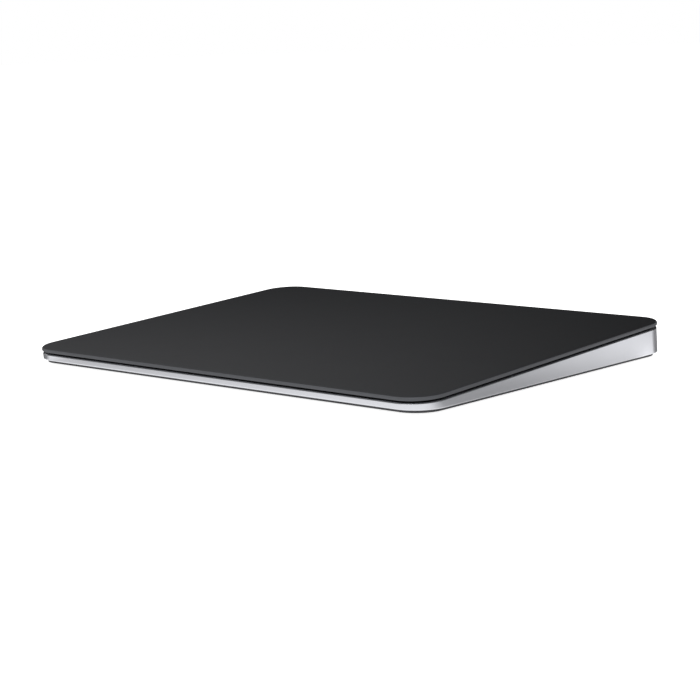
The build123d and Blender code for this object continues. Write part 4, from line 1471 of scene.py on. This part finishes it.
@dataclass
class RearPanel(Assembly):
    """The charging socket and the power switch in the rear wall."""

    contact_edge: float = 0.03 * MILLIMETRE
    ease: float = 0.08 * MILLIMETRE

    def build(self) -> None:
        """Makes the socket's and the switch's visible pieces."""
        self.contacts()
        self.eased_copy("socket_strap", self.ease)
        self.eased_copy("switch_housing", self.ease)
        for node, name in (
            ("socket_shell", "socket_can"), ("socket_tongue", "socket_insert"),
            ("switch_bezel", "switch_lining"), ("switch_knob", "switch_slider_knob"),
            ("switch_flag", "switch_mark"),
        ):
            self.smooth_copy(node, name)

    def contacts(self) -> None:
        """Grows two rows of contacts from one, the lower row upside down."""
        stands = Stand.read("socket_contacts", UPRIGHT)
        size = stands[0].size
        columns = sorted({round(stand.foot.x, PLACE_DIGITS) for stand in stands})
        heights = sorted({round(stand.foot.z, PLACE_DIGITS) for stand in stands})
        middle = Vector((
            (columns[0] + columns[-1]) / 2, stands[0].foot.y, (heights[0] + heights[-1] + size.z) / 2,
        ))
        pattern = linked("pattern_contact", self.contact(size))
        values = {
            "Piece": pattern, "Columns": len(columns), "Rows": len(heights), "Pitch": columns[1] - columns[0],
            "Row gap": heights[-1] - heights[0], "Middle": middle, "Finish": self.shelf.material("gilt"),
        }
        mesh = grown_mesh(piece_rows(), values)
        bpy.data.objects.remove(pattern)
        self.piece("contact_rows", mesh, "gilt", "base", ["socket_contacts"])

    def contact(self, size: Vector) -> bpy.types.Mesh:
        """Makes one contact, with eased edges and a tapered outer end.

        Args:
            size: its sizes along X, Y and Z.

        Returns:
            The contact's mesh, about its middle.
        """
        half, ease = size.x / 2, self.contact_edge
        loops = []
        for inset, height in ((0.0, -size.z / 2), (0.0, 0.0), (ease, size.z / 2)):
            across, reach = half - inset, size.y / 2 - inset
            corners = (
                (-across, -reach), (across, -reach), (across, reach - half), (across / 2, reach),
                (-across / 2, reach), (-across, reach - half),
            )
            loops.append([Vector((*corner, height)) for corner in corners])
        return skinned(loops, "contact")


def compass(bearing: float, elevation: float) -> Vector:
    """Direction by its bearing clockwise from +Y and its elevation, in degrees."""
    turn, rise = math.radians(bearing), math.radians(elevation)
    return Vector((math.sin(turn) * math.cos(rise), math.cos(turn) * math.cos(rise), math.sin(rise)))


@dataclass(frozen=True)
class SoftBox:
    """A large lamp behind a diffuser, aimed at the part.

    Its bearing turns clockwise from +Y, seen from above, and its light is how light a white card looks that
    stands on the part and faces it.
    """

    name: str
    bearing: float
    elevation: float
    distance: float
    size: float
    light: float

    def direction(self) -> Vector:
        """Where the lamp stands, seen from the part."""
        return compass(self.bearing, self.elevation)

    def place(self) -> None:
        """Stands the lamp in the scene."""
        lamp = bpy.data.lights.new(self.name, "AREA")
        lamp.size = self.size
        lamp.energy = self.light * (math.pi * self.distance) ** 2
        thing = linked(self.name, lamp)
        thing.location = self.direction() * self.distance
        thing.rotation_mode = "QUATERNION"
        thing.rotation_quaternion = self.direction().to_track_quat("Z", "Y")


@dataclass(frozen=True)
class Camera:
    """The photograph's camera, found from the edges of the part in the photograph."""

    azimuth: float = 42.592
    elevation: float = 9.4021
    roll: float = -1.907
    distance: float = 0.59026
    target: tuple[float, float, float] = (0.0015192, 0.0012403, 0.0026643)
    focal_pixels: float = 1932.28
    picture_pixels: float = 700.0
    sensor: float = 36.0
    clip: tuple[float, float] = (0.01, 100.0)

    def place(self) -> None:
        """Makes the camera and gives it to the scene."""
        turn, rise, roll = (math.radians(angle) for angle in (self.azimuth, self.elevation, self.roll))
        back = Vector((math.sin(turn) * math.cos(rise), -math.cos(turn) * math.cos(rise), math.sin(rise)))
        level = Vector((math.cos(turn), math.sin(turn), 0))
        upright = back.cross(level)
        right = math.cos(roll) * level + math.sin(roll) * upright
        up = math.cos(roll) * upright - math.sin(roll) * level
        data = bpy.data.cameras.new("camera")
        data.sensor_width = self.sensor
        data.lens = self.focal_pixels / self.picture_pixels * self.sensor
        data.clip_start, data.clip_end = self.clip
        thing = linked("camera", data)
        turned = Matrix((right, up, back)).transposed().to_4x4()
        thing.matrix_world = Matrix.Translation(Vector(self.target) + back * self.distance) @ turned
        bpy.context.scene.camera = thing


@dataclass(frozen=True)
class GreyCard:
    """A soft grey card on the floor that only mirrored rays meet, as flags shade metal in a studio.

    Each side is two places along its axis: where the card begins, and where it is fully there. Where the card
    is slanted, its left and right sides lean over by that share of the way to the rear.
    """

    left: tuple[float, float]
    right: tuple[float, float]
    front: tuple[float, float]
    rear: tuple[float, float]
    shade: float
    slant: float = 0.0

    def level(self, tree: Tree, across: Socket, along: Socket) -> Socket:
        """Works out how light the floor looks with this card on it.

        Args:
            tree: the floor's tree.
            across: each place's X.
            along: each place's Y.

        Returns:
            The card's shade, 1 where the card isn't.
        """
        across = tree.maths("MULTIPLY_ADD", along, -self.slant, across)
        cover = tree.within((
            (across, self.left), (across, self.right), (along, self.front), (along, self.rear),
        ))
        return tree.maths("MULTIPLY_ADD", cover, self.shade - 1, 1.0)


@dataclass(frozen=True)
class SkyWindow:
    """The soft light field above the horizon that mirrored rays meet.

    Angles are in degrees: each range runs from where the light begins to where it is full.
    """

    shade: float = 0.03
    overhead: float = 0.3
    overhead_range: tuple[float, float] = (35.0, 75.0)
    window: float = 0.15
    window_left: tuple[float, float] = (-170.0, -130.0)
    window_right: tuple[float, float] = (-34.0, -66.0)
    window_foot: tuple[float, float] = (2.0, 30.0)
    window_top: tuple[float, float] = (75.0, 45.0)

    def level(self, tree: Tree) -> Socket:
        """Works out how light the sky is in each direction.

        Args:
            tree: the world's tree.

        Returns:
            The light, 1 below the horizon.
        """
        direction = tree.parts(tree.add("ShaderNodeTexCoord").outputs["Generated"])
        rise = tree.maths("ARCSINE", direction["Z"])
        bearing = tree.maths("ARCTAN2", direction["X"], direction["Y"])
        high = tree.ramp(rise, *map(math.radians, self.overhead_range), self.shade, self.overhead)
        glow = tree.within((
            (measure, [math.radians(angle) for angle in side]) for measure, side in (
                (bearing, self.window_left), (bearing, self.window_right),
                (rise, self.window_foot), (rise, self.window_top),
            )
        ), self.window)
        above = tree.maths("GREATER_THAN", direction["Z"], 0.0)
        lit = tree.maths("ADD", high, glow)
        return tree.ramp(above, 0.0, 1.0, 1.0, lit, smooth=False)


def room_material(name: str) -> tuple[bpy.types.Material, Tree]:
    """Starts a material of the room, whose glow isn't sampled as a lamp.

    Args:
        name: the material's name.

    Returns:
        The material, and its empty tree.
    """
    material = bpy.data.materials.new(name)
    material.use_nodes = True
    material.cycles.emission_sampling = "NONE"
    return material, Tree(material.node_tree)


@dataclass(frozen=True)
class BrightCard:
    """A bright card that stands upright behind the part, and makes the sheen on the glass.

    Only mirrored rays meet it, so it casts no light and no shadow. Its ends are places on the floor, and its
    light falls to nothing over a range along X.
    """

    left_end: tuple[float, float]
    right_end: tuple[float, float]
    foot: float
    top: float
    light: float
    fade: tuple[float, float]

    def stand(self) -> None:
        """Makes the card, upright between its two ends."""
        corners = [
            (*end, height) for end, height in (
                (self.left_end, self.foot), (self.right_end, self.foot),
                (self.right_end, self.top), (self.left_end, self.top),
            )
        ]
        data = bpy.data.meshes.new("bright_card")
        data.from_pydata(corners, [], [(0, 1, 2, 3)])
        material, tree = room_material("card_white")
        strength = tree.ramp(tree.parts(tree.place())["X"], *self.fade, self.light, 0.0, smooth=False)
        glow = tree.out("ShaderNodeEmission", {"Strength": strength})
        tree.add("ShaderNodeOutputMaterial", {"Surface": glow})
        data.materials.append(material)
        thing = linked("bright_card", data)
        thing.visible_camera = False
        thing.visible_diffuse = False
        thing.visible_transmission = False
        thing.visible_shadow = False


@dataclass(frozen=True)
class Studio:
    """A plain white room: the floor, the light from all round, the lamp and the cards."""

    floor_size: float = 12.0
    floor_colour: float = 0.8
    floor_lift: float = 0.86
    floor_mirrored: float = 1.06
    # How far in from the tray's outline the floor's glow fades out, which paints a shadow under the part
    painted_shadow_range: tuple[float, float] = (5 * MILLIMETRE, 8 * MILLIMETRE)
    all_round: float = 0.8
    lamp: SoftBox = SoftBox("overhead_lamp", bearing=200, elevation=75, distance=1.4, size=1.0, light=0.22)
    sky: SkyWindow = SkyWindow()
    card: BrightCard = BrightCard(
        left_end=(-0.356, -0.056), right_end=(0.086, 0.35), foot=0.10, top=0.40, light=0.77,
        fade=(-0.25, -0.015),
    )
    # To the right of the part, before it, to its left, behind it, a bright strip beside that one, and a
    # bright spot at the front left corner
    cards: tuple[GreyCard, ...] = (
        GreyCard((0.076, 0.082), (0.40, 0.25), (-0.060, -0.038), (0.086, -0.022), 0.37),
        GreyCard((-0.106, -0.088), (0.110, -0.090), (-0.30, -0.20), (-0.057, -0.063), 0.58),
        GreyCard((-0.40, -0.25), (-0.074, -0.081), (-0.066, -0.0595), (0.10, 0.05), 0.20),
        GreyCard((-0.053, -0.013), (0.0487, 0.0405), (0.040, 0.052), (0.40, 0.25), 0.24, slant=0.66),
        GreyCard((0.0440, 0.0490), (0.0543, 0.0500), (0.035, 0.050), (0.40, 0.25), 1.42, slant=0.66),
        GreyCard((-0.0850, -0.0805), (-0.0735, -0.0792), (-0.078, -0.069), (-0.0590, -0.0630), 2.4),
    )

    def build(self) -> None:
        """Makes the whole studio."""
        self.floor()
        self.room()
        self.lamp.place()
        self.card.stand()
        Camera().place()
        bpy.context.scene.view_settings.view_transform = "Standard"

    @staticmethod
    def mirrored(tree: Tree, path: bpy.types.Node) -> Socket:
        """Whether a ray reached the room by way of metal or glass."""
        return tree.maths("MAXIMUM", path.outputs["Is Glossy Ray"], path.outputs["Is Transmission Ray"])

    def outside_painted_shadow(self, tree: Tree, across: Socket, along: Socket) -> Socket:
        """Tells the floor beside the part from the floor under it, where the glow is left out to paint a
        shadow.

        Args:
            tree: the floor's tree.
            across: each place's X.
            along: each place's Y.

        Returns:
            1 beside the part, and 0 under it, where the floor is left dark as a painted shadow.
        """
        low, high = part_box("enclosure")
        under = tree.within(
            (place, [edge + inwards * reach for reach in self.painted_shadow_range]) for place, edge, inwards in (
                (across, low.x, 1), (across, high.x, -1), (along, low.y, 1), (along, high.y, -1),
            )
        )
        return tree.minus(1.0, under)

    def floor(self) -> None:
        """A white floor that keeps the part's soft shadow, with painted shadow under the part. Metal mirrors
        it with the grey cards on it.
        """
        mesh = bmesh.new()
        bmesh.ops.create_grid(mesh, x_segments=1, y_segments=1, size=self.floor_size / 2)
        data = bpy.data.meshes.new("floor")
        mesh.to_mesh(data)
        mesh.free()
        material, tree = room_material("floor_white")
        path = tree.add("ShaderNodeLightPath")
        parts = tree.parts(tree.place())
        white = (self.floor_colour,) * 3 + (1.0,)
        matte = tree.out("ShaderNodeBsdfDiffuse", {"Color": white})
        lift = tree.times(path.outputs["Is Camera Ray"], self.floor_lift)
        # The glow is left out under the part, which paints a shadow there
        lift = tree.times(lift, self.outside_painted_shadow(tree, parts["X"], parts["Y"]))
        glow = tree.out("ShaderNodeEmission", {"Strength": lift})
        looked_at = tree.out("ShaderNodeAddShader", {0: matte, 1: glow})
        level: object = self.floor_mirrored
        for card in self.cards:
            level = tree.times(level, card.level(tree, parts["X"], parts["Y"]))
        mirrored = tree.out("ShaderNodeEmission", {"Strength": level})
        both = tree.out("ShaderNodeMixShader", {0: self.mirrored(tree, path), 1: looked_at, 2: mirrored})
        tree.add("ShaderNodeOutputMaterial", {"Surface": both})
        data.materials.append(material)
        thing = linked("floor", data)

    def room(self) -> None:
        """Even light from all round, white where it is looked at, and the sky window where it is mirrored."""
        world = bpy.data.worlds.new("studio")
        world.use_nodes = True
        world.cycles.sampling_method = "NONE"
        tree = Tree(world.node_tree)
        path = tree.add("ShaderNodeLightPath")
        mirrored = self.mirrored(tree, path)
        strength = tree.ramp(mirrored, 0.0, 1.0, self.all_round, self.sky.level(tree), smooth=False)
        strength = tree.ramp(path.outputs["Is Camera Ray"], 0.0, 1.0, strength, 1.0, smooth=False)
        light = tree.out("ShaderNodeBackground", {"Color": (1, 1, 1, 1), "Strength": strength})
        tree.add("ShaderNodeOutputWorld", {"Surface": light})
        bpy.context.scene.world = world


def main() -> None:
    """Builds the studio and the part's visible pieces."""
    logging.basicConfig(level=logging.INFO, format="%(name)s: %(message)s")
    Studio().build()
    shelf = Shelf()
    shelf.dress_nodes()
    assemblies = (
        TouchPlate(shelf), Springs(shelf), HapticEngine(shelf), Fasteners(shelf), Electronics(shelf),
        Tray(shelf), RearPanel(shelf),
    )
    for assembly in assemblies:
        assembly.build()
        log.info("%s: %d pieces", type(assembly).__name__, len(assembly.made))


if __name__ == "__main__":
    main()
